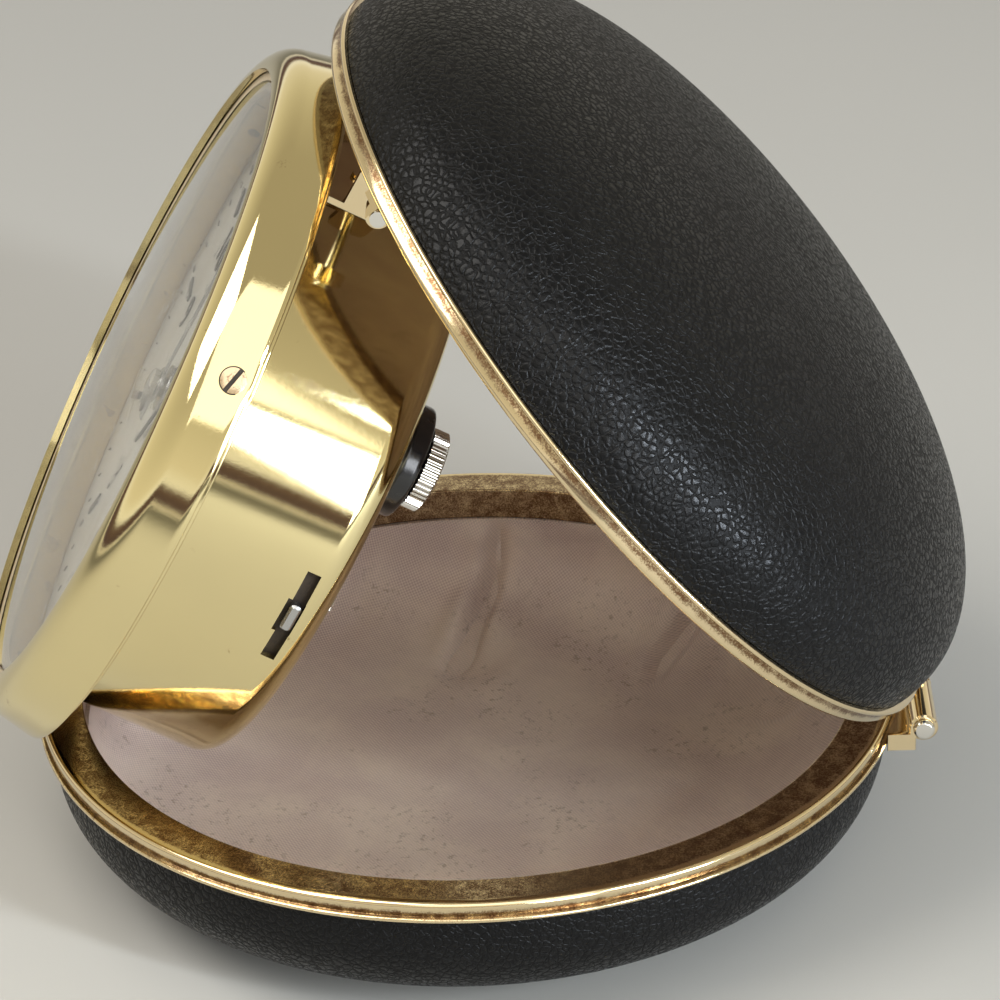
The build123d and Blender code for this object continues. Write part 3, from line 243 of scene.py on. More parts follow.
def mesh_object(name, verts, faces):
    """An object with its place in its mesh."""
    mesh = bpy.data.meshes.new(name)
    faces = faces.tolist() if isinstance(faces, np.ndarray) else faces
    mesh.from_pydata((np.asarray(verts) * MM).tolist(), [], faces)
    shape = bmesh.new()
    shape.from_mesh(mesh)
    bmesh.ops.remove_doubles(shape, verts=shape.verts, dist=SAME_POINT)
    bmesh.ops.dissolve_degenerate(shape, dist=NO_LENGTH, edges=shape.edges)
    bmesh.ops.recalc_face_normals(shape, faces=shape.faces)
    shape.to_mesh(mesh)
    shape.free()
    mesh.polygons.foreach_set("use_smooth", np.ones(len(mesh.polygons), bool))
    mesh.set_sharp_from_angle(angle=CRISP)
    return scene_object(name, mesh)


def piece(name, part, node, finish, matrix=BASE):
    """A finished piece with the given finish, that stands for a CAD node, takes its body and hides the node."""
    made = mesh_object(name, *placed(part, matrix))
    made.data.materials.append(finish)
    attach(made, BODY_OF[node])
    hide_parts(node)
    print(name, len(made.data.polygons), "faces")
    return made


def local_points(mesh, matrix=BASE):
    """The vertices of a mesh in the upright frame of its part, in millimetres."""
    co = np.zeros(len(mesh.vertices) * 3)
    mesh.vertices.foreach_get("co", co)
    back = np.linalg.inv(matrix)
    return (co.reshape(-1, 3) / MM) @ back[:3, :3].T + back[:3, 3]


# %% [markdown]
# Shader maths reads best as plain expressions. `Wire` stands for one output and turns `a * b + 1` into Math
# nodes. `Nodes` makes the nodes of a tree, and `Finish` is one material with a few patterns ready to use.

# %% Shader helpers
class Wire:
    """An output of a node, on which arithmetic works."""

    def __init__(self, nodes, socket):
        self.nodes, self.socket = nodes, socket

    def __add__(self, other):
        return self.nodes.maths("ADD", self, other)

    def __sub__(self, other):
        return self.nodes.maths("SUBTRACT", self, other)

    def __rsub__(self, other):
        return self.nodes.maths("SUBTRACT", other, self)

    def __mul__(self, other):
        return self.nodes.maths("MULTIPLY", self, other)

    __radd__ = __add__
    __rmul__ = __mul__


class Nodes:
    """The shader nodes of one tree."""

    def __init__(self, tree):
        self.tree = tree

    def node(self, kind, settings=None, inputs=None):
        """Any node: its type, its settings, and the values or wires of its sockets."""
        made = self.tree.nodes.new("ShaderNode" + kind)
        for key, value in (settings or {}).items():
            setattr(made, key, value)
        for key, value in (inputs or {}).items():
            self.feed(made.inputs[key], value)
        return made

    def feed(self, socket, value):
        """Give a socket a wire, a number or a colour."""
        if isinstance(value, Wire):
            self.tree.links.new(value.socket, socket)
        else:
            socket.default_value = (*value, 1.0) if isinstance(value, tuple) else value

    def wire(self, made, output=0):
        return Wire(self, made.outputs[output])

    def value(self, *what, output=0):
        """The wire of a new node's output."""
        return self.wire(self.node(*what), output)

    def maths(self, operation, a, b):
        return self.value("Math", {"operation": operation}, {0: a, 1: b})

    def vector(self, operation, inputs):
        return self.value("VectorMath", {"operation": operation}, inputs)


class Finish(Nodes):
    """A material with a Principled shader. Keyword arguments are constants on the shader's own sockets."""

    def __init__(self, name, **constants):
        self.material = bpy.data.materials.new(name)
        self.material.use_nodes = True
        super().__init__(self.material.node_tree)
        self.shader = self.tree.nodes["Principled BSDF"]
        for label, value in constants.items():
            self.set(label.replace("_", " "), value)

    def set(self, label, value):
        """Feed one socket of the shader."""
        self.feed(self.shader.inputs[label], value)

    def place(self):
        """Object coordinates in millimetres."""
        return self.vector("SCALE", {0: self.value("TexCoord", output="Object"), "Scale": 1 / MM})

    def noise(self, at, size, detail=3.0, rough=0.5, warp=0.0):
        """Cloudy noise from 0 to 1, with features of that size in millimetres."""
        inputs = {"Vector": at, "Scale": 1 / size, "Detail": detail, "Roughness": rough, "Distortion": warp}
        return self.value("TexNoise", {}, inputs, output="Fac")

    def smooth(self, value, low, high):
        """0 below low, 1 above high, and an S curve between."""
        settings = {"interpolation_type": "SMOOTHSTEP"}
        return self.value("MapRange", settings, {"Value": value, "From Min": low, "From Max": high})

    def blend(self, mask, a, b):
        """Colour a where the mask is 0, colour b where it is 1."""
        return self.value("Mix", {"data_type": "RGBA"}, {0: mask, 6: a, 7: b}, output=2)

    def bump(self, height, depth):
        """Normal from a height of 0 to 1, that many millimetres deep."""
        self.set("Normal", self.value("Bump", {}, {"Strength": 1.0, "Distance": depth * MM, "Height": height}))


def plain_finish(name, patch, detail, rough, dark, light, grain, fine, depth, **constants):
    """Two tones by a cloudy noise of that patch size, and a fine grain."""
    made = Finish(name, **constants)
    at = made.place()
    made.set("Base Color", made.blend(made.noise(at, patch, detail, rough), dark, light))
    made.bump(made.noise(at, grain, fine), depth)
    return made.material


# %% [markdown]
# The leather is dyed nearly black, with a pebbled grain: soft domes about 0.8 mm wide between narrow creases. A
# Voronoi pattern gives both, warped so that no two domes look alike, and a slower noise swells them in groups.
# The skin reflects little, but a lamp's strip breaks into sparks on the domes.

# %% Leather
def leather_finish(name):
    skin = Finish(name, IOR=1.5, Specular_IOR_Level=0.17)
    at = skin.place()
    warp = skin.value("TexNoise", {}, {"Vector": at, "Scale": 0.9, "Detail": 3.0}, output="Color")
    bent = skin.vector("ADD", {0: at, 1: skin.vector("SCALE", {0: warp, "Scale": 0.9})})
    cell = {"Vector": bent, "Scale": 1.35, "Randomness": 1.0}
    dome = skin.value("TexVoronoi", {"feature": "SMOOTH_F1"}, {**cell, "Smoothness": 0.4}, output="Distance")
    edge = skin.value("TexVoronoi", {"feature": "DISTANCE_TO_EDGE"}, cell, output="Distance")
    hollow = 1 - skin.smooth(edge, 0.0, 0.2)
    fine = skin.noise(at, 0.25, 3.0, 0.6)
    swell = skin.noise(at, 2.1, 2.0, 0.5)
    skin.bump(fine * 0.1 + swell * 0.35 - dome * 0.35 - hollow * 0.4, 0.15)
    rubbed = skin.smooth(skin.noise(at, 7.0, 4.0, 0.55), 0.45, 0.75)
    dark = skin.blend(rubbed, (0.0030, 0.0031, 0.0034), (0.0062, 0.0060, 0.0058))
    # The creases are coloured near black: painted shade in the grain's hollows, darker than the dyed skin.
    skin.set("Base Color", skin.blend(hollow, dark, (0.0014, 0.0013, 0.0014)))
    skin.set("Roughness", 0.24 + hollow * 0.3 + fine * 0.06)
    return skin.material


LEATHER_T = 0.7


def leather_bowl(radius, height, fullness, flat=math.inf):
    """Outer and inner curve of one pressed skin, joined at the edge and closed at the pole."""
    outer = bowl_profile(radius, height, fullness, flat)
    inner = bowl_profile(radius - LEATHER_T, height - LEATHER_T, fullness, flat - LEATHER_T)
    return turned(np.vstack((outer, inner[::-1])))


def pressed(part, depth, seed):
    """Slight unevenness of a skin drawn over a form: a sum of three slow waves along the radius."""
    verts, faces = part
    angle = np.arctan2(verts[:, 1], verts[:, 0])
    wave = sum(np.cos(k * angle + seed * k + verts[:, 2] / (3 + k)) / k for k in (2, 3, 5))
    scale = 1 + depth * wave / np.maximum(np.linalg.norm(verts, axis=1), 1)
    fade = np.clip(verts[:, 2] / 4, 0, 1)
    return verts * (1 + (scale - 1) * fade)[:, None], faces


LEATHER = leather_finish("pebbled_leather")
base_skin = pressed(leather_bowl(43.1, 16.5, 3.0, BASE_EDGE_H - 0.05), 0.03, 1.0)
lid_skin = pressed(leather_bowl(43.6, 18.6, 2.3), 0.05, 2.0)
piece("base_skin", base_skin, "base_leather", LEATHER, shift(0, 0, BASE_EDGE_H - 0.05) @ UPSIDE)
piece("lid_skin", lid_skin, "lid_leather", LEATHER, LID @ shift(0, 0, RIM_BAND + 0.05))

# %% [markdown]
# The rims are rolled sheet brass with a thin pale plating that hands have worn through. Tarnish sits in brown
# patches low on the band, where fingers don't rub, and fine scratches run every way. The tarnish is a mask that
# changes the colour and the roughness together.

# %% Metals
def metal_finish(name, colour, tarnish, amount, rough, scratch=0.02, patch=3.0, dull=0.25, worn=False):
    """Plated or bare metal. A worn one reads how dull each place is from the attribute `wear` of its mesh."""
    metal = Finish(name, Metallic=1.0)
    at = metal.place()
    cloud = metal.noise(at, patch, 6.0, 0.62, 0.6)
    speck = metal.noise(at, patch * 0.12, 3.0, 0.7)
    if not worn:
        stain = metal.smooth(cloud + speck * 0.25, 0.86 - amount, 0.98 - amount)
    else:
        wear = metal.value("Attribute", {"attribute_name": "wear"}, output="Fac")
        stain = metal.smooth(cloud * 0.45 + speck * 0.6 + wear * 0.42, 0.66, 0.96)
    haze = metal.noise(at, patch * 2.5, 3.0, 0.5)
    tint = metal.blend(haze, tuple(c * 0.93 for c in colour), colour)
    metal.set("Base Color", metal.blend(stain, tint, tarnish))
    lines = metal.noise(at, 1 / 9, 2.0, 0.5, 1.5)
    metal.set("Roughness", rough + lines * scratch + stain * dull)
    metal.bump(speck * 0.5 + lines * 0.3 - stain * 0.4, 0.004)
    return metal.material


RIM_METAL = metal_finish("worn_rim_plating", (0.80, 0.655, 0.41), (0.17, 0.092, 0.044), 0.0, 0.085, 0.04, 1.5,
                         0.15, True)
BEZEL_METAL = metal_finish("polished_gilt", (0.82, 0.70, 0.38), (0.33, 0.22, 0.10), 0.06, 0.035, 0.01, 4.0, 0.1)
STEEL = metal_finish("plain_steel", (0.50, 0.50, 0.49), (0.12, 0.10, 0.09), 0.12, 0.24)
NICKEL = metal_finish("bright_nickel", (0.74, 0.72, 0.67), (0.25, 0.20, 0.14), 0.12, 0.10)
BRASS = metal_finish("movement_brass", (0.66, 0.48, 0.20), (0.22, 0.12, 0.05), 0.14, 0.22)


# %% [markdown]
# The rim's section, seen from outside: a round bead next to the leather, a shallow hollow above it, and an edge
# that rolls over into the flat ledge. Inside, the ledge drops down as a wall. The same section, turned upside
# down, makes the lid's rim.

# %% Rims
def rim_profile():
    """Closed section with the mating plane at zero."""
    t = np.linspace(-0.5, 0.5, 9)[:, None] * math.pi
    bead = np.hstack((CASE_R - 0.02 + 0.27 * np.cos(t), -RIM_BAND + 0.26 + 0.25 * np.sin(t)))
    hollow = np.array(((CASE_R - 0.22, -RIM_BAND + 0.6), (CASE_R - 0.16, -RIM_BAND + 0.95)))
    s = np.linspace(0, 0.5, 9)[:, None] * math.pi
    edge = np.hstack((CASE_R - 0.55 + 0.55 * np.cos(s), -0.55 + 0.55 * np.sin(s)))
    inside = rounded(((CASE_R - 1.0, 0.0), (LEDGE_R, 0.0), (LEDGE_R, -RIM_WALL), (LEDGE_R + 0.5, -RIM_WALL),
                      (LEDGE_R + 0.6, -0.6), (CASE_R - 0.6, -0.6), (CASE_R - 0.6, -RIM_BAND)), 0.2, False)
    return np.vstack((bead, hollow, edge, inside))


def wear_mask(made, matrix):
    """Attribute `wear`: high in the hollow band and on the ledge, where no finger rubs, low on the edges."""
    x, y, z = local_points(made.data, matrix).T
    r = np.hypot(x, y)
    hollow = np.exp(-((z + 1.3) / 0.42) ** 2) * (r > CASE_R - 0.4)
    ledge = 0.8 * (r < CASE_R - 0.8)
    layer = made.data.attributes.new("wear", "FLOAT", "POINT")
    layer.data.foreach_set("value", np.maximum(hollow, ledge))


RIM = turned(rim_profile(), turns=512)
for word, at in (("base", shift(0, 0, BASE_TOP)), ("lid", LID @ UPSIDE)):
    wear_mask(piece(word + "_rim_ring", RIM, word + "_rim", RIM_METAL, at), at)

# %% [markdown]
# The bezel is one polished pressing. Its skirt hardly tapers, then the section rolls over in a full round to the
# lip that holds the crystal. Mirror metal shows every flaw of its mesh, so the curve is an arc of many points.

# %% Bezel, gasket and crystal
BEZEL_R, RIDGE_R, RIDGE_H, LIP_R, LIP_H, TUCK, SHEET = 37.0, 36.3, 3.5, 33.0, 6.2, 0.35, 0.7


def through(a, mid, b, count):
    """Points of the circle arc through three points: centre c is where |p - c| is one radius for all three."""
    a, mid, b = (np.asarray(p, float) for p in (a, mid, b))
    m = np.array((mid - a, b - a)) * 2
    c = np.linalg.solve(m, ((mid @ mid - a @ a), (b @ b - a @ a)))
    first, last = (math.atan2(*(p - c)[::-1]) for p in (a, b))
    t = np.linspace(first, last, count)
    return c + np.linalg.norm(a - c) * np.stack((np.cos(t), np.sin(t)), 1)


def bezel_profile():
    """Closed section: skirt, rolled front, lip and the same curve inside."""
    mid = ((RIDGE_R + LIP_R) / 2 + 0.55, (RIDGE_H + LIP_H) / 2 + 0.55)
    outer = through((RIDGE_R, RIDGE_H), mid, (LIP_R, LIP_H), 28)
    inner = through((LIP_R, LIP_H - SHEET), (mid[0] - SHEET, mid[1] - SHEET), (35.1, RIDGE_H - SHEET), 12)
    skirt = np.linspace((BEZEL_R, 0.15), (RIDGE_R + 0.03, RIDGE_H - 0.15), 10)
    hem = rounded(((BEZEL_R, 0.1), (BEZEL_R, -TUCK), (35.8, -TUCK), (35.8, 0.1)), 0.15, False)
    return np.vstack((skirt, outer, inner, hem[::-1]))


piece("bezel_ring", turned(bezel_profile(), turns=512), "bezel", BEZEL_METAL, CLOCK)

GASKET = plain_finish("beige_gasket", 1.2, 5.0, 0.6, (0.42, 0.33, 0.21), (0.62, 0.52, 0.37), 0.4, 3.0, 0.02,
                      Roughness=0.45)
gasket = rounded(((33.2, 3.85), (33.2, 5.3), (32.1, 5.3), (32.1, 4.35), (31.0, 4.35), (31.0, 3.85)), 0.12)
piece("crystal_ring", turned(gasket), "crystal_gasket", GASKET, CLOCK)

CRYSTAL_R, CRYSTAL_EDGE, CROWN, CRYSTAL_T = 32.05, 5.3, 2.3, 0.9


def crystal_profile():
    """Two shallow arcs, h = edge + crown - ball + sqrt(ball^2 - r^2), joined at a thin edge."""
    ball = (CRYSTAL_R**2 + CROWN**2) / (2 * CROWN)
    r = np.linspace(0, CRYSTAL_R - 0.1, 60)
    top = CRYSTAL_EDGE + CROWN - ball + np.sqrt(ball**2 - r**2)
    front, back = np.stack((r, top), 1), np.stack((r, top - CRYSTAL_T), 1)
    edge = np.array(((CRYSTAL_R, CRYSTAL_EDGE - 0.12), (CRYSTAL_R, CRYSTAL_EDGE - CRYSTAL_T + 0.12)))
    return np.vstack((front, edge, back[::-1]))


CRYSTAL = Finish("clear_acrylic", Base_Color=(0.985, 0.985, 0.97), Transmission_Weight=1.0, IOR=1.49)
_at = CRYSTAL.place()
_rub = CRYSTAL.smooth(CRYSTAL.noise(_at, 5.0, 6.0, 0.7, 1.2), 0.55, 0.8)
CRYSTAL.set("Roughness", 0.01 + _rub * 0.05)
CRYSTAL.bump(CRYSTAL.noise(_at, 0.5, 2.0) * _rub, 0.002)
piece("crystal_dome", turned(crystal_profile()), "crystal", CRYSTAL.material, CLOCK)

# %% [markdown]
# The drum is drawn in one piece with a rounded back corner. Its side is a grid of angles and heights whose lines
# run along the edges of the alarm lever's slot, a long narrow opening, wider in its middle. The cells inside the
# slot are left out, and short walls close the sheet's thickness there.

# %% Drum
DRUM_R, DRUM_T, DRUM_DEPTH, DRUM_ROUND = 31.8, 0.6, 17.4, 2.6
FLANGE_R, FLANGE_T = 35.6, 0.9
LEVER_ANGLE, LEVER_BEHIND = -2.1, 14.05
SLOT_L, SLOT_W, MOUTH_L, MOUTH_W = 10.4, 1.4, 3.8, 2.2


def slot_lines(low, high, marks, step):
    """Even lines from low to high, with exact lines at the marks."""
    stops = sorted({low, high, *marks})
    runs = [np.linspace(a, b, max(2, int((b - a) / step) + 1))[:-1] for a, b in zip(stops, stops[1:])]
    return np.concatenate((*runs, [high]))


HALF_SLOT, HALF_MOUTH = (math.degrees(x / 2 / DRUM_R) for x in (SLOT_L, MOUTH_L))
SIDE_LOW = -DRUM_DEPTH + DRUM_ROUND
at_ends = [LEVER_ANGLE + side * x for x in (HALF_SLOT, HALF_MOUTH) for side in (-1, 1)]
SIDE_ANGLES = np.radians(slot_lines(LEVER_ANGLE - 180, LEVER_ANGLE + 180, at_ends, 0.9))


def drum_side():
    """Both faces of the drum's side with the slot, at the outer and inner radius."""
    edges_h = [-LEVER_BEHIND + side * x / 2 for x in (SLOT_W, MOUTH_W) for side in (-1, 1)]
    heights = slot_lines(SIDE_LOW, -FLANGE_T, [h for h in edges_h if h > SIDE_LOW], 0.8)
    a, h = np.meshgrid(SIDE_ANGLES[:-1], heights)
    mid_a = np.degrees((SIDE_ANGLES[:-1] + SIDE_ANGLES[1:]) / 2) - LEVER_ANGLE
    mid_h = (heights[:-1] + heights[1:]) / 2 + LEVER_BEHIND
    ga, gh = np.meshgrid(np.abs(mid_a), np.abs(mid_h))
    open_cells = (ga < HALF_SLOT) & (gh < SLOT_W / 2) | (ga < HALF_MOUTH) & (gh < MOUTH_W / 2)
    sides = []
    for r in (DRUM_R, DRUM_R - DRUM_T):
        verts, quads = surface(around(r, a, h))
        sides.append((verts, quads[~open_cells.ravel()]))
    outer, inner = sides
    count = len(outer[0])
    edges = {(q[i], q[(i + 1) % 4]) for q in outer[1].tolist() for i in range(4)}
    rows, columns = a.shape
    walls = []
    for i, j in edges:
        row_i, row_j = i // columns, j // columns
        outside = row_i == row_j and row_i in (0, rows - 1)
        if (j, i) not in edges and not outside:
            walls.append((i, j, j + count, i + count))
    faces = outer[1].tolist() + (inner[1] + count).tolist() + walls
    return np.vstack((outer[0], inner[0])), [tuple(f) for f in faces]


def drum_ends():
    """Front flange and rounded back as open profiles that meet the side's two rims."""
    t = np.linspace(0, math.pi / 2, 14)
    flat_r = DRUM_R - DRUM_ROUND
    outer, inner = (np.stack((flat_r + bend * np.cos(t), SIDE_LOW - bend * np.sin(t)), 1)
                    for bend in (DRUM_ROUND, DRUM_ROUND - DRUM_T))
    r = np.linspace(flat_r, 0, 24)[1:]
    back, back_in = (np.stack((r, np.full_like(r, h)), 1) for h in (-DRUM_DEPTH, DRUM_T - DRUM_DEPTH))
    rear = np.vstack((outer, back, back_in[::-1], inner[::-1]))
    front = rounded(((DRUM_R, -FLANGE_T), (FLANGE_R, -FLANGE_T), (FLANGE_R, 0), (DRUM_R - DRUM_T, 0),
                     (DRUM_R - DRUM_T, -FLANGE_T)), 0.12, False)
    return rear, front


ends = [turned(profile, False, angles=SIDE_ANGLES[:-1]) for profile in drum_ends()]
piece("drum_shell", joined(drum_side(), *ends), "case_drum", BEZEL_METAL, CLOCK)

# %% [markdown]
# The dial is a painted disc. Its minute track, hour batons and numbers are thin sheets just above the paint,
# because print that is real geometry stays sharp from any side.

# %% Dial
DIAL_TOP = 0.45


def dial_finish():
    paint = Finish("dial_paint", Roughness=0.42, Coat_Roughness=0.2)
    at = paint.place()
    age = paint.smooth(paint.noise(at, 9.0, 5.0, 0.6, 0.5), 0.42, 0.78)
    fly = paint.smooth(paint.noise(at, 0.45, 2.0, 0.7), 0.70, 0.78)
    clean = paint.blend(age, (0.80, 0.785, 0.74), (0.70, 0.655, 0.57))
    paint.set("Base Color", paint.blend(fly * 0.5, clean, (0.42, 0.34, 0.24)))
    paint.set("Coat Weight", 0.15 + age * 0.1)
    paint.bump(paint.noise(at, 0.3, 3.0), 0.006)
    return paint.material


INK = plain_finish("dial_ink", 0.5, 4.0, 0.5, (0.012, 0.012, 0.013), (0.035, 0.032, 0.03), 0.15, 2.0, 0.004,
                   Roughness=0.5)
piece("dial_plate", turned(box_section(2.5, 33.6, 0.05, DIAL_TOP, 0.1)), "dial", dial_finish(), CLOCK)


def bar(length, width, height, at_radius, degrees):
    """A baton on the paint: a box whose top edges are eased."""
    bottom, ease = DIAL_TOP + 0.05, min(0.06, width * 0.25)
    rows = []
    for z, cut in ((bottom, 0), (bottom + height - ease / 2, 0), (bottom + height, ease)):
        low, high, side = at_radius - length + cut, at_radius - cut, width / 2 - cut
        rows.append(((low, -side, z), (high, -side, z), (high, side, z), (low, side, z)))
    return placed(capped(np.array(rows)), swing(degrees))


def dial_marks():
    """Sixty minute ticks round the edge and a baton at each hour."""
    marks = []
    for minute in range(60):
        hour = minute % 5 == 0
        marks.append(bar(1.1 if hour else 0.8, 0.42 if hour else 0.16, 0.12, 29.9, minute * 6))
        if hour:
            marks.append(bar(4.6 if minute % 15 == 0 else 3.4, 0.8, 0.2, 26.5, minute * 6))
    return joined(*marks)


piece("dial_marks", dial_marks(), "hour_markers", INK, CLOCK)

# %% [markdown]
# The numbers are Blender text turned into a mesh. Text is made flat at the origin, so its place is applied to
# the mesh afterwards.

# %% Dial numbers
def number(value, size, radius):
    """One number, centred on its own middle, upright at its hour."""
    curve = bpy.data.curves.new(f"number_{value}", "FONT")
    curve.body, curve.size, curve.extrude = str(value), size * MM, 0.05 * MM
    curve.align_x, curve.align_y = "CENTER", "CENTER"
    holder = scene_object(f"number_{value}", curve)
    bpy.context.view_layer.update()
    mesh = bpy.data.meshes.new_from_object(holder)
    bpy.data.objects.remove(holder)
    co = local_points(mesh)
    co[:, :2] -= (co[:, :2].max(0) + co[:, :2].min(0)) / 2
    turn = math.radians(90 - value * 30)
    co += around(radius, turn, DIAL_TOP + 0.1)
    return co, [tuple(p.vertices) for p in mesh.polygons]


numbers = mesh_object("dial_numbers", *placed(joined(*[number(n, 5.6, 18.4) for n in range(1, 13)]), CLOCK))
numbers.data.materials.append(INK)
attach(numbers, "clock")

# %% [markdown]
# The hands are stamped from sheet steel with a ridge along the middle. A hand is a strip whose half width
# follows its length, w(s), raised along its centre line.

# %% Hands
def hand_part(length, width, height, tail, pipe_r):
    """Ridged blade: rows along the length, columns (-w, -w, 0, w, w) with heights (0, t, t + ridge, t, 0)."""
    s = np.linspace(0, 1, 40)
    along = -tail + s * (length + tail)
    rise = np.clip((along + tail) / tail, 0, 1)
    taper = np.clip((length - along) / (length * 0.22), 0, 1)
    swell = 0.55 + 0.45 * np.clip(along / (length * 0.78), 0, 1) ** 1.5
    half = width / 2 * np.where(along > 0, swell * taper, 0.5 + 0.5 * (1 - rise)) + 0.03
    x = np.stack((-half, -half, -half * 0.05, half, half, half * 0.05), 1)
    z = height + np.array((0.0, 0.12, 0.25, 0.12, 0.0, 0.0))[None] + 0 * half[:, None]
    y = along[:, None] + 0 * x
    ring = box_section(pipe_r + 0.03, pipe_r + 0.9, height - 0.02, height + 0.27, 0.06)
    return joined(capped(np.stack((x, y, z), -1)), turned(ring, turns=64))


HAND_TONE = (0.62, 0.62, 0.62)
HAND_STEEL = Finish("hand_steel", Metallic=1.0)
_brush = HAND_STEEL.noise(HAND_STEEL.place(), 0.35, 4.0, 0.6)
HAND_STEEL.set("Base Color", HAND_STEEL.blend(_brush, tuple(c * 0.85 for c in HAND_TONE), HAND_TONE))
HAND_STEEL.set("Roughness", 0.14 + _brush * 0.14)
# Length, width, height above the dial, radius of the pipe, and the angle that the hand points at from twelve.
hands = {"minute": (23.5, 1.5, 2.2, 1.0, -2.0, HAND_STEEL.material),
         "hour": (15.5, 2.1, 1.5, 1.55, -62.0, HAND_STEEL.material),
         "alarm": (11.0, 1.0, 0.8, 2.1, 150.0, INK)}
for word, (length, width, height, pipe_r, turn, finish) in hands.items():
    blade = hand_part(length, width, height, 4.0, pipe_r)
    piece(word + "_blade", blade, word + "_hand", finish, CLOCK @ swing(turn))
cap = np.vstack((rounded(((1.03, 2.5), (1.5, 2.5), (1.5, 3.1)), 0.08, False),
                 through((1.5, 3.1), (0.95, 3.34), (0.35, 3.4), 8), ((0.0, 3.4), (0.0, 3.18), (1.03, 3.15))))
piece("hand_cap", turned(cap, turns=96), "hand_nut", NICKEL, CLOCK)

# %% [markdown]
# The lower half holds a padded dish in mauve satin, glued over wadding. Cloth pressed into a dish can't lie
# without spare width, so it puckers: one deep crease runs down the far wall to a dimple, another stands at the
# right, and small gathers go all round. Each fold is a soft ridge along a line of points.

# %% Lining shapes
WELL_R, WELL_DEPTH, WELL_FULLNESS, PAD_TOP = 39.3, 12.4, 3.6, 14.55
PAD_TURNS = 460


def near_line(x, y, line):
    """Distance of every point from a polyline, its side, and how far along it the nearest place is, 0 to 1."""
    best, side, share = np.full(x.shape, 1e9), np.zeros(x.shape), np.zeros(x.shape)
    line = np.asarray(line, float)
    for i, (a, b) in enumerate(zip(line, line[1:])):
        d = b - a
        t = np.clip(((x - a[0]) * d[0] + (y - a[1]) * d[1]) / (d @ d), 0, 1)
        away_x, away_y = x - a[0] - t * d[0], y - a[1] - t * d[1]
        far = np.hypot(away_x, away_y)
        near = far < best
        best = np.where(near, far, best)
        side = np.where(near, np.sign(away_x * d[1] - away_y * d[0]), side)
        share = np.where(near, (i + t) / (len(line) - 1), share)
    return best, side, share


# Each crease is its line, its depth and its width.
CREASES = (
    (((-41.0, 3.8), (-37.5, 2.4), (-33.5, 0.4), (-29.0, -1.2), (-26.0, -2.6)), 1.7, 1.7),
    (((-32.5, 27.5), (-28.3, 23.8), (-25.2, 21.1), (-21.0, 19.0)), 1.4, 2.0),
    (((-39.5, -12.0), (-34.0, -12.5), (-30.0, -14.5)), 0.3, 2.0),
    (((-12.0, 37.5), (-11.0, 33.0), (-12.5, 28.0)), 0.35, 1.9),
    (((10.0, -38.5), (11.5, -33.5), (9.0, -29.0)), 0.4, 2.0),
    (((36.0, 10.0), (32.0, 11.5), (28.0, 10.0)), 0.3, 2.0),
)
DIMPLE = (-28.5, -1.4)


def folds(x, y, depth_share):
    """Sum of creases, a valley with a swell on one side, of gathers down the wall and of slow unevenness."""
    height = np.zeros(x.shape)
    for line, deep, wide in CREASES:
        far, side, share = near_line(x, y, line)
        ends = np.sin(np.pi * np.clip(share * 0.9 + 0.08, 0, 1)) ** 0.8
        valley = -np.exp(-(far / (wide * 0.6)) ** 2)
        lean = side * (1 - np.exp(-(far / (wide * 0.6)) ** 2))
        swell = np.exp(-((far - wide * 1.2) / wide) ** 2) * (0.75 + 0.25 * lean)
        height += deep * ends * (valley + 0.8 * swell)
    angle = np.arctan2(y, x)
    wall = np.exp(-((depth_share - 0.35) / 0.3) ** 2)
    gathers = np.cos(23 * angle + 1.3 * np.sin(3 * angle)) ** 3
    gathers += 0.6 * np.cos(41 * angle + 2.0 * np.sin(2 * angle))
    ripple = np.hypot(x - DIMPLE[0], y - DIMPLE[1])
    height += 0.12 * wall * gathers - np.exp(-(ripple / 3.6) ** 2)
    height += 0.25 * np.exp(-((ripple - 6.0) / 2.6) ** 2) * (1 + np.sin(3 * angle))
    return height + 0.16 * np.sin(x * 0.23 + 1.1) * np.sin(y * 0.19 - 0.6)


def curve_share(r, h, radius, height, fullness):
    """Arc length in millimetres from the pole of a superellipse to the place (r, h)."""
    half = fullness / 2
    t, line = superellipse(radius, height, fullness)
    run = run_along(line)
    at = np.arctan2(np.clip(h / height, 0, 1) ** half, np.clip(r / radius, 1e-9, 1) ** half)
    return run[-1] - np.interp(at, t, run)


def cloth_map(made, radius, height, fullness, matrix):
    """UV map of cloth pressed into a bowl: arc length from the middle, laid out flat in the same direction."""
    mesh, local = made.data, local_points(made.data, matrix)
    r = np.hypot(local[:, 0], local[:, 1])
    s = curve_share(r, local[:, 2], radius, height, fullness)
    uv = local[:, :2] / np.maximum(r, 1e-9)[:, None] * s[:, None]
    index = np.zeros(len(mesh.loops), int)
    mesh.loops.foreach_get("vertex_index", index)
    layer = mesh.uv_layers.new(name="cloth")
    layer.data.foreach_set("uv", uv[index].ravel())


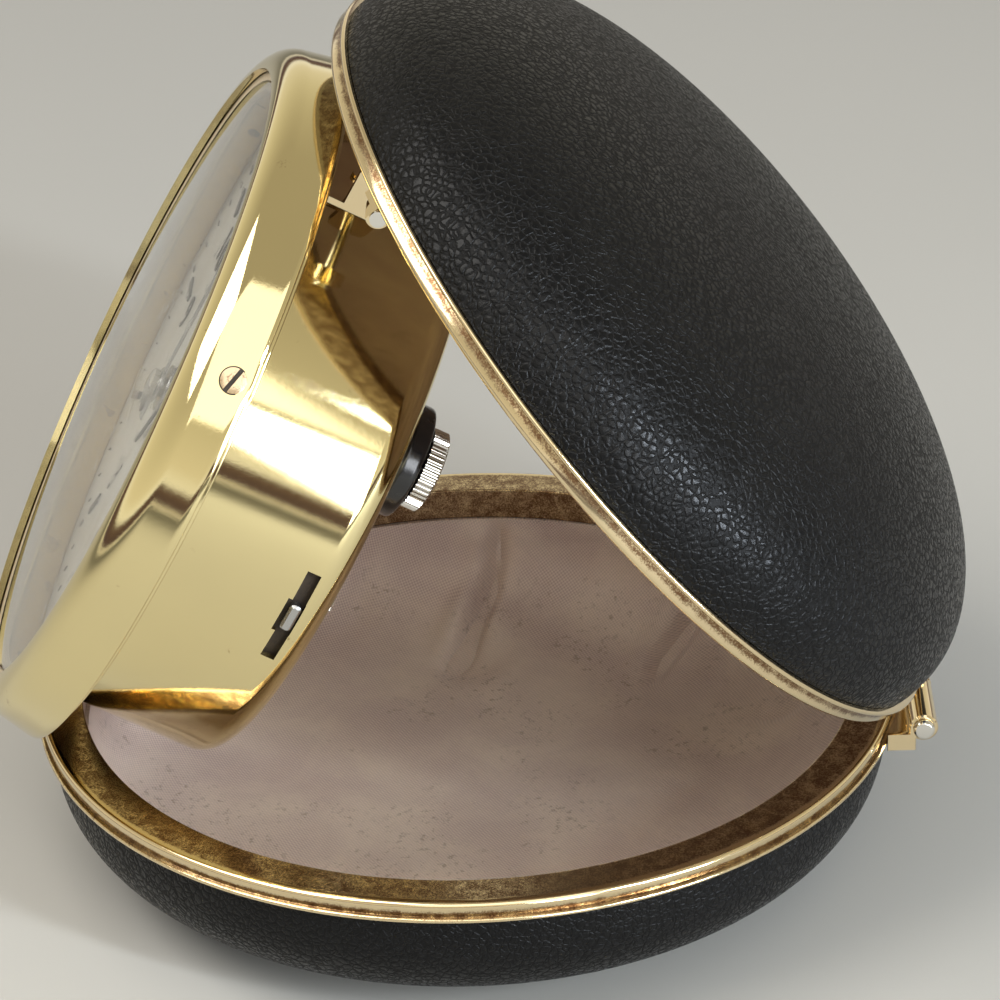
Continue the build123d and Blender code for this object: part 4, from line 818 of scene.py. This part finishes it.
def base_pad():
    """Closed solid: the shell's inside, the flat top under the ledge, and the folded dish."""
    under = bowl_profile(41.7, 15.1, 3.0, 14.6, 30)
    under = under[under[:, 1] > 1.45]
    dish = bowl_profile(WELL_R, WELL_DEPTH, WELL_FULLNESS, count=170)
    top = ((41.6, PAD_TOP), (40.2, PAD_TOP))
    rows = np.vstack(((under * (1, -1) + (0, 15.95))[::-1], top, dish * (1, -1) + (0, PAD_TOP)))
    verts, faces = turned(rows, False, PAD_TURNS)
    start = (len(rows) - len(dish)) * PAD_TURNS
    x, y, z = verts[start:].T
    drop = PAD_TOP - z
    share = drop / WELL_DEPTH
    steep = WELL_FULLNESS - 1
    inward = [-np.sign(v) * (np.abs(v) / WELL_R) ** steep / WELL_R * 0.6 for v in (x, y)]
    out = unit(np.stack((*inward, share**steep / WELL_DEPTH), 1))
    fade = np.clip(drop / 2.2, 0, 1)
    verts[start:] += out * (folds(x, y, share) * fade)[:, None]
    return verts, faces


# %% [markdown]
# Satin is a weave so fine that it shows only as a faint grid. The grid follows the cloth's own UV map, and the
# dust of long use and cloudy patches of painted shade follow Object coordinates. A soft sheen comes from
# the shader.

# %% Satin
WEAVE = 0.46


def satin_finish(name, colour, painted_shade, dirt):
    satin = Finish(name, Sheen_Weight=0.35, Sheen_Roughness=0.35, Specular_IOR_Level=0.5)
    satin.set("Sheen Tint", (0.85, 0.75, 0.78))
    at = satin.place()
    split = satin.node("SeparateXYZ", {}, {0: satin.value("UVMap", {"uv_map": "cloth"})})
    u, v = satin.wire(split, 0), satin.wire(split, 1)
    turn = 2 * math.pi / WEAVE
    warp = satin.maths("SINE", (u + v * 0.35) * turn, 0.0)
    weft = satin.maths("SINE", (v - u * 0.35) * turn, 0.0)
    grid = warp * weft * 0.5 + 0.5
    slub = satin.noise(at, 0.5, 3.0, 0.6)
    # The cloudy patches blend the satin towards a darker colour: broad patches of painted shade on the cloth.
    cloud = satin.noise(at, 11.0, 4.0, 0.55, 0.4)
    tone = satin.blend(satin.smooth(cloud, 0.28, 0.72), painted_shade, colour)
    tone = satin.blend(grid * 0.56 + slub * 0.16, tone, tuple(min(1.0, c * 1.6) for c in colour))
    dust = satin.smooth(satin.noise(at, 0.9, 4.0, 0.75), 0.54, 0.66)
    dust = dust * satin.smooth(satin.noise(at, 9.0, 3.0), 0.48, 0.62)
    satin.set("Base Color", satin.blend(dust * 0.55, tone, dirt))
    satin.set("Roughness", 0.36 + slub * 0.14 - grid * 0.06)
    satin.bump(grid * 0.6 + slub * 0.4, 0.09)
    return satin.material


SATIN = satin_finish("mauve_satin", (0.53, 0.425, 0.355), (0.33, 0.235, 0.225), (0.20, 0.14, 0.09))
pad = piece("satin_dish", base_pad(), "base_lining", SATIN)
cloth_map(pad, WELL_R, WELL_DEPTH, WELL_FULLNESS, shift(0, 0, PAD_TOP) @ UPSIDE)


LID_TURNS = 300


def lid_pad():
    """The lid's thin lining: the shell's inside and a puckered face in front of it, joined at the foot."""
    back, face = (bowl_profile(42.25 - t, 17.25 - t, 2.3, count=110) for t in (0.0, 0.3))
    back, face = (row[row[:, 1] > 1.45] for row in (back, face))
    verts, faces = turned(np.vstack((back, face[::-1])), True, LID_TURNS)
    start = len(back) * LID_TURNS
    x, y, z = verts[start:].T
    angle = np.arctan2(y, x)
    share = z / 17.0
    wave = np.cos(19 * angle + 1.1 * np.sin(2 * angle)) ** 3
    wave += 0.5 * np.cos(37 * angle + 1.7 * np.sin(3 * angle))
    lift = 0.05 + 0.16 * np.exp(-((share - 0.3) / 0.25) ** 2) * (wave + 0.8)
    verts[start:] += unit(np.stack((-x, -y, -z - 12), 1)) * lift[:, None]
    return verts, faces


lid_frame = LID @ shift(0, 0, RIM_BAND + 0.05)
lid_cloth = piece("satin_lid", lid_pad(), "lid_lining", SATIN, lid_frame)
cloth_map(lid_cloth, 42.0, 17.0, 2.3, lid_frame)

# %% [markdown]
# Small stamped and rolled parts are slabs: an outline carried up a short way, its edges eased with a bevel that
# catches the light.

# %% Slabs
def outline(corners, radius):
    """A closed flat outline with rounded corners."""
    far = np.array((1000.0, 0.0))
    return rounded(np.asarray(corners, float) + far, radius) - far


def inset(points, amount):
    """The same outline moved inwards along the mean of its two edge normals."""
    ahead, behind = np.roll(points, -1, 0) - points, points - np.roll(points, 1, 0)
    tangent = unit(unit(ahead) + unit(behind))
    x, y = points[:, 0], points[:, 1]
    turning = np.sign((x * np.roll(y, -1) - np.roll(x, -1) * y).sum())
    return points + turning * amount * np.stack((-tangent[:, 1], tangent[:, 0]), 1)


def lifted(points, height):
    """A flat outline at a height, one number or one for each point."""
    return np.column_stack((points, np.broadcast_to(height, len(points))))


def slab(points, low, high, bevel):
    """Rows (inset, low), (full, low + b), (full, high - b), (inset, high), closed by a face at each end."""
    drawn = inset(points, bevel)
    rows = ((drawn, low), (points, low + bevel), (points, high - bevel), (drawn, high))
    return capped(np.stack([lifted(*row) for row in rows]))


ALONG_X = np.array(((0, 0, 1, 0), (1, 0, 0, 0), (0, 1, 0, 0), (0, 0, 0, 1)), float)

# %% [markdown]
# Three slotted screws hold the bezel. Each lies nearly flush in the sloping skirt: a slightly domed head in two
# halves, h(r) = 0.06 + 0.12 (1 - (r/R)^2), on a dark disc that shows round it and through its slot, painted
# shade with dirt in the gap and the slot.

# %% Bezel screws
GAP_SHADE_AND_DIRT = plain_finish("shade_and_dirt_in_gaps", 0.3, 4.0, 0.7, (0.006, 0.005, 0.004), (0.045, 0.028, 0.014), 0.15, 3.0,
                    0.02, Roughness=0.75)
SCREW_METAL = metal_finish("screw_metal", (0.72, 0.56, 0.38), (0.30, 0.18, 0.10), 0.2, 0.16, 0.05, 0.8)
HEAD_R, SLOT_HALF = 1.26, 0.2


def half_head(side):
    """One half of a head: a D outline drawn in towards its middle while the height follows the dome."""
    reach = math.asin(SLOT_HALF / HEAD_R)
    a = np.linspace(reach, math.pi - reach, 36)
    edge = HEAD_R * np.stack((np.cos(a), side * np.sin(a)), 1)
    slot = np.linspace(edge[-1], edge[0], 14)[1:-1]
    line = np.vstack((edge, slot))
    middle = np.array((0.0, side * HEAD_R * 0.5))
    rows = [lifted(line, -0.1), lifted(line, 0.02)]
    for share in (0.97, 0.9, 0.75, 0.55, 0.3, 0.0):
        flat = middle + (line - middle) * share
        rows.append(lifted(flat, 0.06 + 0.12 * (1 - (flat**2).sum(1) / HEAD_R**2)))
    return surface(np.stack(rows))


SCREW_ANGLE, SCREW_LEVEL = 30.8, 1.55
slope = math.atan2(BEZEL_R - RIDGE_R, RIDGE_H)
LEANING = turn_plane(math.degrees(slope), 0, 2)
SEAT = shift(BEZEL_R - SCREW_LEVEL * math.tan(slope), 0, SCREW_LEVEL) @ LEANING @ ALONG_X
# The dark disc under each head shows round it and through its slot: painted shade with dirt in the gap.
gap_line = rounded(((0.0, 0.03), (HEAD_R + 0.1, 0.005), (HEAD_R + 0.1, -0.2), (0.0, -0.2)), 0.02)
heads, gaps = [], []
for i, slot_turn in enumerate((-17.0, 40.0, 75.0)):
    seat = swing(SCREW_ANGLE + 120 * i) @ SEAT @ swing(slot_turn)
    heads += [placed(half_head(side), seat) for side in (1, -1)]
    gaps.append(placed(turned(gap_line, True, 64), seat))
piece("screw_heads", joined(*heads), "bezel_screws", SCREW_METAL, CLOCK)
piece("screw_gaps", joined(*gaps), "bezel_screws", GAP_SHADE_AND_DIRT, CLOCK)

# %% [markdown]
# The alarm lever is a steel tab on a black strip that slides behind the drum's slot.

# %% Alarm lever
def arc_strip(low_r, high_r, low, high, half):
    """A bent strip: a rounded section carried through the angles -half to half, closed at both ends."""
    section = box_section(low_r, high_r, low, high, 0.1)
    return capped(around(section[:, 0], np.linspace(-half, half, 48)[:, None], section[:, 1]))


AT_LEVER = CLOCK @ swing(LEVER_ANGLE) @ shift(0, 0, -LEVER_BEHIND)
# The strip takes the same dark finish, painted shade with dirt where it shows through the drum's slot.
piece("lever_strip", arc_strip(30.2, 30.9, -1.4, 1.4, 8.5 / 31), "alarm_lever", GAP_SHADE_AND_DIRT, AT_LEVER)
tab = outline(((-1.5, -0.56), (1.5, -0.56), (1.5, 0.56), (-1.5, 0.56)), 0.48)
piece("lever_tab", placed(slab(tab, 30.8, 32.05, 0.22), ALONG_X), "alarm_lever", STEEL, AT_LEVER)

# %% [markdown]
# The setting knobs sit one on the other on the drum's back: a black moulded disc with a soft edge, and a bright
# knurled wheel.

# %% Knobs
BLACK = Finish("black_moulding", Coat_Weight=0.35, Coat_Roughness=0.12)
_at = BLACK.place()
_rub = BLACK.smooth(BLACK.noise(_at, 2.2, 5.0, 0.65, 0.6), 0.5, 0.8)
BLACK.set("Base Color", BLACK.blend(_rub, (0.008, 0.008, 0.009), (0.03, 0.028, 0.026)))
BLACK.set("Roughness", 0.22 + _rub * 0.25)
BLACK.bump(BLACK.noise(_at, 0.35, 3.0), 0.01)

# The setting arbor's distance from the middle follows from the teeth of its wheels, of module 0.4.
KNOB_AT = 0.4 * (12 + 2 * 36 + 22) / 2
KNOB_ANGLE = math.radians(34.4)
AT_KNOB = CLOCK @ shift(*around(KNOB_AT, KNOB_ANGLE, 0))


def knurled(radius, notch, count, low, high, bevel):
    """Wheel whose radius is R - notch * |cos(n a / 2)|^3, with a bevelled rim and a slightly hollow face."""
    a = np.linspace(0, 2 * math.pi, count * 8, endpoint=False)
    edge = radius - notch * np.abs(np.cos(count * a / 2)) ** 3
    smooth = np.full_like(a, radius - notch)
    rows = ((0 * a, low + 0.15), (smooth * 0.72, low + 0.15), (smooth * 0.78, low), (smooth - bevel, low),
            (edge, low + bevel), (edge, high - bevel), (smooth - bevel, high), (0 * a, high))
    return surface(np.stack([around(r, a, z) for r, z in rows]))


knob_disc = turned(box_section(0.0, 5.7, -19.9, -17.8, 0.5), True, 160)
piece("set_knob_disc", knob_disc, "set_knob", BLACK.material, AT_KNOB)
piece("alarm_knurl", knurled(4.1, 0.3, 44, -22.2, -20.3, 0.18), "alarm_set_knob", NICKEL, AT_KNOB)

# %% [markdown]
# A winding key is a round boss under a flat wing: two lobes with a waist.

# %% Winding keys
def key_part():
    """Boss and a wing whose half width is w(s) = w0 (0.62 + 0.38 s^2) along its length."""
    s = np.linspace(-1, 1, 31)
    half = 2.3 * (0.62 + 0.38 * s**2)
    top = np.stack((6.0 * s, half), 1)
    wing = outline(np.vstack((top, top[::-1] * (1, -1))), 0.3)
    bulge = np.abs(wing[:, 0]) > 5.9
    wing[bulge, 0] = np.sign(wing[bulge, 0]) * (6.0 + 0.4 * (1 - (wing[bulge, 1] / 2.3) ** 2))
    boss = turned(box_section(0.0, 2.6, -19.0, -17.85, 0.25), True, 72)
    return joined(slab(wing, -20.0, -19.0, 0.18), boss)


KEY_PLACES = {"going": (-12.24, -5.71), "alarm": (12.56, -7.25)}
for word, (at_x, at_y) in KEY_PLACES.items():
    place = CLOCK @ shift(at_x, at_y, 0) @ swing(35.0)
    piece(word + "_key_wing", key_part(), word + "_winding_key", NICKEL, place)

# %% [markdown]
# The rear hinge is rolled from the same plated brass as the rims. Each knuckle is one section along X: a block
# that follows the rim's curve, a flat web, and the barrel round the pin.

# %% Rear hinge
BARREL_R, BLOCK_H = 1.45, 2.6


def knuckle_part(left, right, side):
    """Sections along X; the block's inner edge is y = sqrt(44.3^2 - x^2) - hinge distance."""
    turns = np.radians(np.linspace(-121, 180, 30))
    barrel = BARREL_R * np.stack((np.cos(turns), np.sin(turns)), 1)
    middle = [(x, 0) for x in np.linspace(left + 0.6, right - 0.6, 12)]
    rows = []
    for x, drawn in ((left, 0.15), (left + 0.15, 0), *middle, (right - 0.15, 0), (right, 0.15)):
        inner = math.sqrt(44.3**2 - x**2) - HINGE_Y
        section = np.vstack(((inner, -BLOCK_H), (-0.75, -BLOCK_H), barrel, (-BARREL_R, -0.6),
                             (min(inner, -1.5), -0.6)))
        rows.append(np.column_stack((np.full(len(section), x), inset(section, drawn) if drawn else section)))
    points = np.stack(rows)
    points[..., 2] *= -side
    return capped(points)


AXIS = shift(0, HINGE_Y, BASE_TOP)
piece("base_knuckles", joined(knuckle_part(-14.0, -6.0, -1), knuckle_part(6.0, 14.0, -1)), "base_hinge_leaf",
      RIM_METAL, AXIS)
piece("lid_knuckle", knuckle_part(-5.7, 5.7, 1), "lid_hinge_leaf", RIM_METAL, AXIS @ tilt(-LID_OPEN))
pin_head = rounded(((0.0, 14.65), (0.85, 14.65), (1.08, 14.35), (1.08, 14.08), (0.85, 14.08), (0.85, 0.0)),
                   0.12, False)
pin = np.vstack((pin_head, (pin_head * (1, -1))[::-1]))
piece("hinge_pin", placed(turned(pin, False, 48), ALONG_X), "lid_hinge_pin", NICKEL, AXIS)

# %% [markdown]
# Every CAD node whose slot or name is listed here gets a finish too, also those that are rarely seen: the pressed
# steel shells, the movement, the springs, and the small parts of the front hinge. Nodes of other slots keep theirs.

# %% Finishes of the CAD nodes
SPRING = metal_finish("blued_spring", (0.16, 0.19, 0.28), (0.10, 0.08, 0.07), 0.10, 0.22)
SHELL = metal_finish("shell_steel", (0.36, 0.35, 0.33), (0.16, 0.10, 0.06), 0.22, 0.42)
BY_SLOT = {"leather": LEATHER, "rim": RIM_METAL, "shell": SHELL, "lining": SATIN, "bezel": BEZEL_METAL,
           "crystal": CRYSTAL.material, "gasket": GASKET, "steel": STEEL, "brass": BRASS,
           "black": BLACK.material, "nickel": NICKEL, "ink": INK}
BY_NODE = {"going_mainspring": SPRING, "alarm_mainspring": SPRING, "hairspring": SPRING, "bezel_screws": NICKEL}
for node, held in frame["nodes"].items():
    finish = BY_NODE.get(node) or BY_SLOT.get(SLOT_OF[node])
    if finish is None:
        continue
    held.data.materials.clear()
    held.data.materials.append(finish)

# %% [markdown]
# The floor is a wide plain sheet. What the camera, mirrors and glass see of the world are the bands of a room, a
# dark far side, a bright window line and a dimmer ceiling, so polished metal has something to mirror. The light
# that the world gives stays low, so nothing is washed out.

# %% Floor and world
FLOOR_TONE = (0.50, 0.48, 0.43)
floor_paint = Finish("pale_floor", Roughness=0.7, Specular_IOR_Level=0.2)
_mottle = floor_paint.noise(floor_paint.place(), 60.0, 3.0, 0.5)
floor_paint.set("Base Color", floor_paint.blend(_mottle, tuple(c * 0.97 for c in FLOOR_TONE), FLOOR_TONE))
a = np.linspace(0, 2 * math.pi, 96, endpoint=False)
reach = np.array((0.0, 150.0, 600.0, 2600.0))[:, None]
floor = mesh_object("floor", *surface(around(reach, a, -0.02)))
floor.data.materials.append(floor_paint.material)

ROOM = ((0.0, (0.74, 0.70, 0.615)), (0.012, (0.10, 0.065, 0.075)), (0.085, (0.16, 0.11, 0.09)),
        (0.11, (1.0, 0.98, 0.92)), (0.2, (0.84, 0.78, 0.64)), (0.4, (0.72, 0.67, 0.53)),
        (0.85, (0.46, 0.42, 0.33)))
world = bpy.data.worlds.new("studio")
world.use_nodes = True
bpy.context.scene.world = world
sky = Nodes(world.node_tree)
low, rays = sky.tree.nodes["Background"], sky.node("LightPath")
sky.feed(low.inputs["Color"], (0.95, 0.97, 1.0))
sky.feed(low.inputs["Strength"], 0.32)
up = sky.value("SeparateXYZ", {}, {0: sky.value("TexCoord", output="Generated")}, output="Z")
room = sky.node("ValToRGB", {}, {"Fac": up})
for place, colour in ROOM[2:]:
    room.color_ramp.elements.new(place)
for element, (place, colour) in zip(room.color_ramp.elements, ROOM):
    element.position, element.color = place, (*colour, 1.0)
shown = sky.value("Background", {}, {"Color": sky.wire(room)})
either = sky.wire(rays, "Is Camera Ray")
for kind in ("Is Glossy Ray", "Is Transmission Ray"):
    either = sky.maths("MAXIMUM", either, sky.wire(rays, kind))
mixed = sky.value("MixShader", {}, {0: either, 1: sky.wire(low), 2: shown})
sky.feed(sky.tree.nodes["World Output"].inputs["Surface"], mixed)

# %% [markdown]
# Soft lights, as in a room: a wide one overhead at the left, a cooler slanting strip low at the right, like a
# window, whose reflection is the line of sparks on the lid, and two weaker ones that reach into the lined well.

# %% Lights
def facing(azimuth, rise, turn, middle, far):
    """Matrix at middle + far * Z, where Z points out at an azimuth and a rise, turned on itself, in radians."""
    away = np.array((math.cos(azimuth) * math.cos(rise), math.sin(azimuth) * math.cos(rise), math.sin(rise)))
    side = np.array((-math.sin(azimuth), math.cos(azimuth), 0.0))
    above = np.cross(away, side)
    matrix = np.eye(4)
    matrix[:3, 0] = side * math.cos(turn) + above * math.sin(turn)
    matrix[:3, 1] = above * math.cos(turn) - side * math.sin(turn)
    matrix[:3, 2], matrix[:3, 3] = away, (middle + away * far) * MM
    return Matrix(matrix.tolist())


def soft_light(name, azimuth, rise, far, size, power, colour, turn=0.0):
    """A rectangular lamp that faces the part, its angles in degrees."""
    lamp = bpy.data.lights.new(name, "AREA")
    lamp.shape, lamp.size, lamp.size_y = "RECTANGLE", size[0] * MM, size[1] * MM
    lamp.energy, lamp.color = power, colour
    scene_object(name, lamp).matrix_world = facing(*np.radians((azimuth, rise, turn)), MIDDLE, far)


MIDDLE = np.array((0.0, 0.0, 40.0))
soft_light("overhead", -67, 57, 700, (520, 420), 3.7, (1.0, 0.975, 0.94))
soft_light("window", 51, 9, 700, (45, 720), 9.0, (0.80, 0.89, 1.0), 27)
soft_light("room_side", 22, 12, 640, (150, 260), 1.1, (0.9, 0.94, 1.0))
soft_light("room_front", 8, 46, 600, (420, 420), 0.8, (1.0, 0.98, 0.95))

# %% [markdown]
# The camera stands where the photograph was taken from: about 32 degrees above the table, square to the side
# of the case, with a long lens. Like the lamps, it looks back along its own Z axis.

# %% Camera
EYE = np.array((400.864, 9.451, 251.13))
YAW, PITCH, ROLL, LENS = 0.014, 0.489, -0.033, 162.0
lens = bpy.data.cameras.new("camera")
lens.lens, lens.sensor_width, lens.clip_start = LENS, 36.0, 0.02
camera = scene_object("camera", lens)
camera.matrix_world = facing(YAW, PITCH, ROLL, EYE, 0.0)
bpy.context.scene.camera = camera
bpy.context.scene.view_settings.view_transform = "Standard"
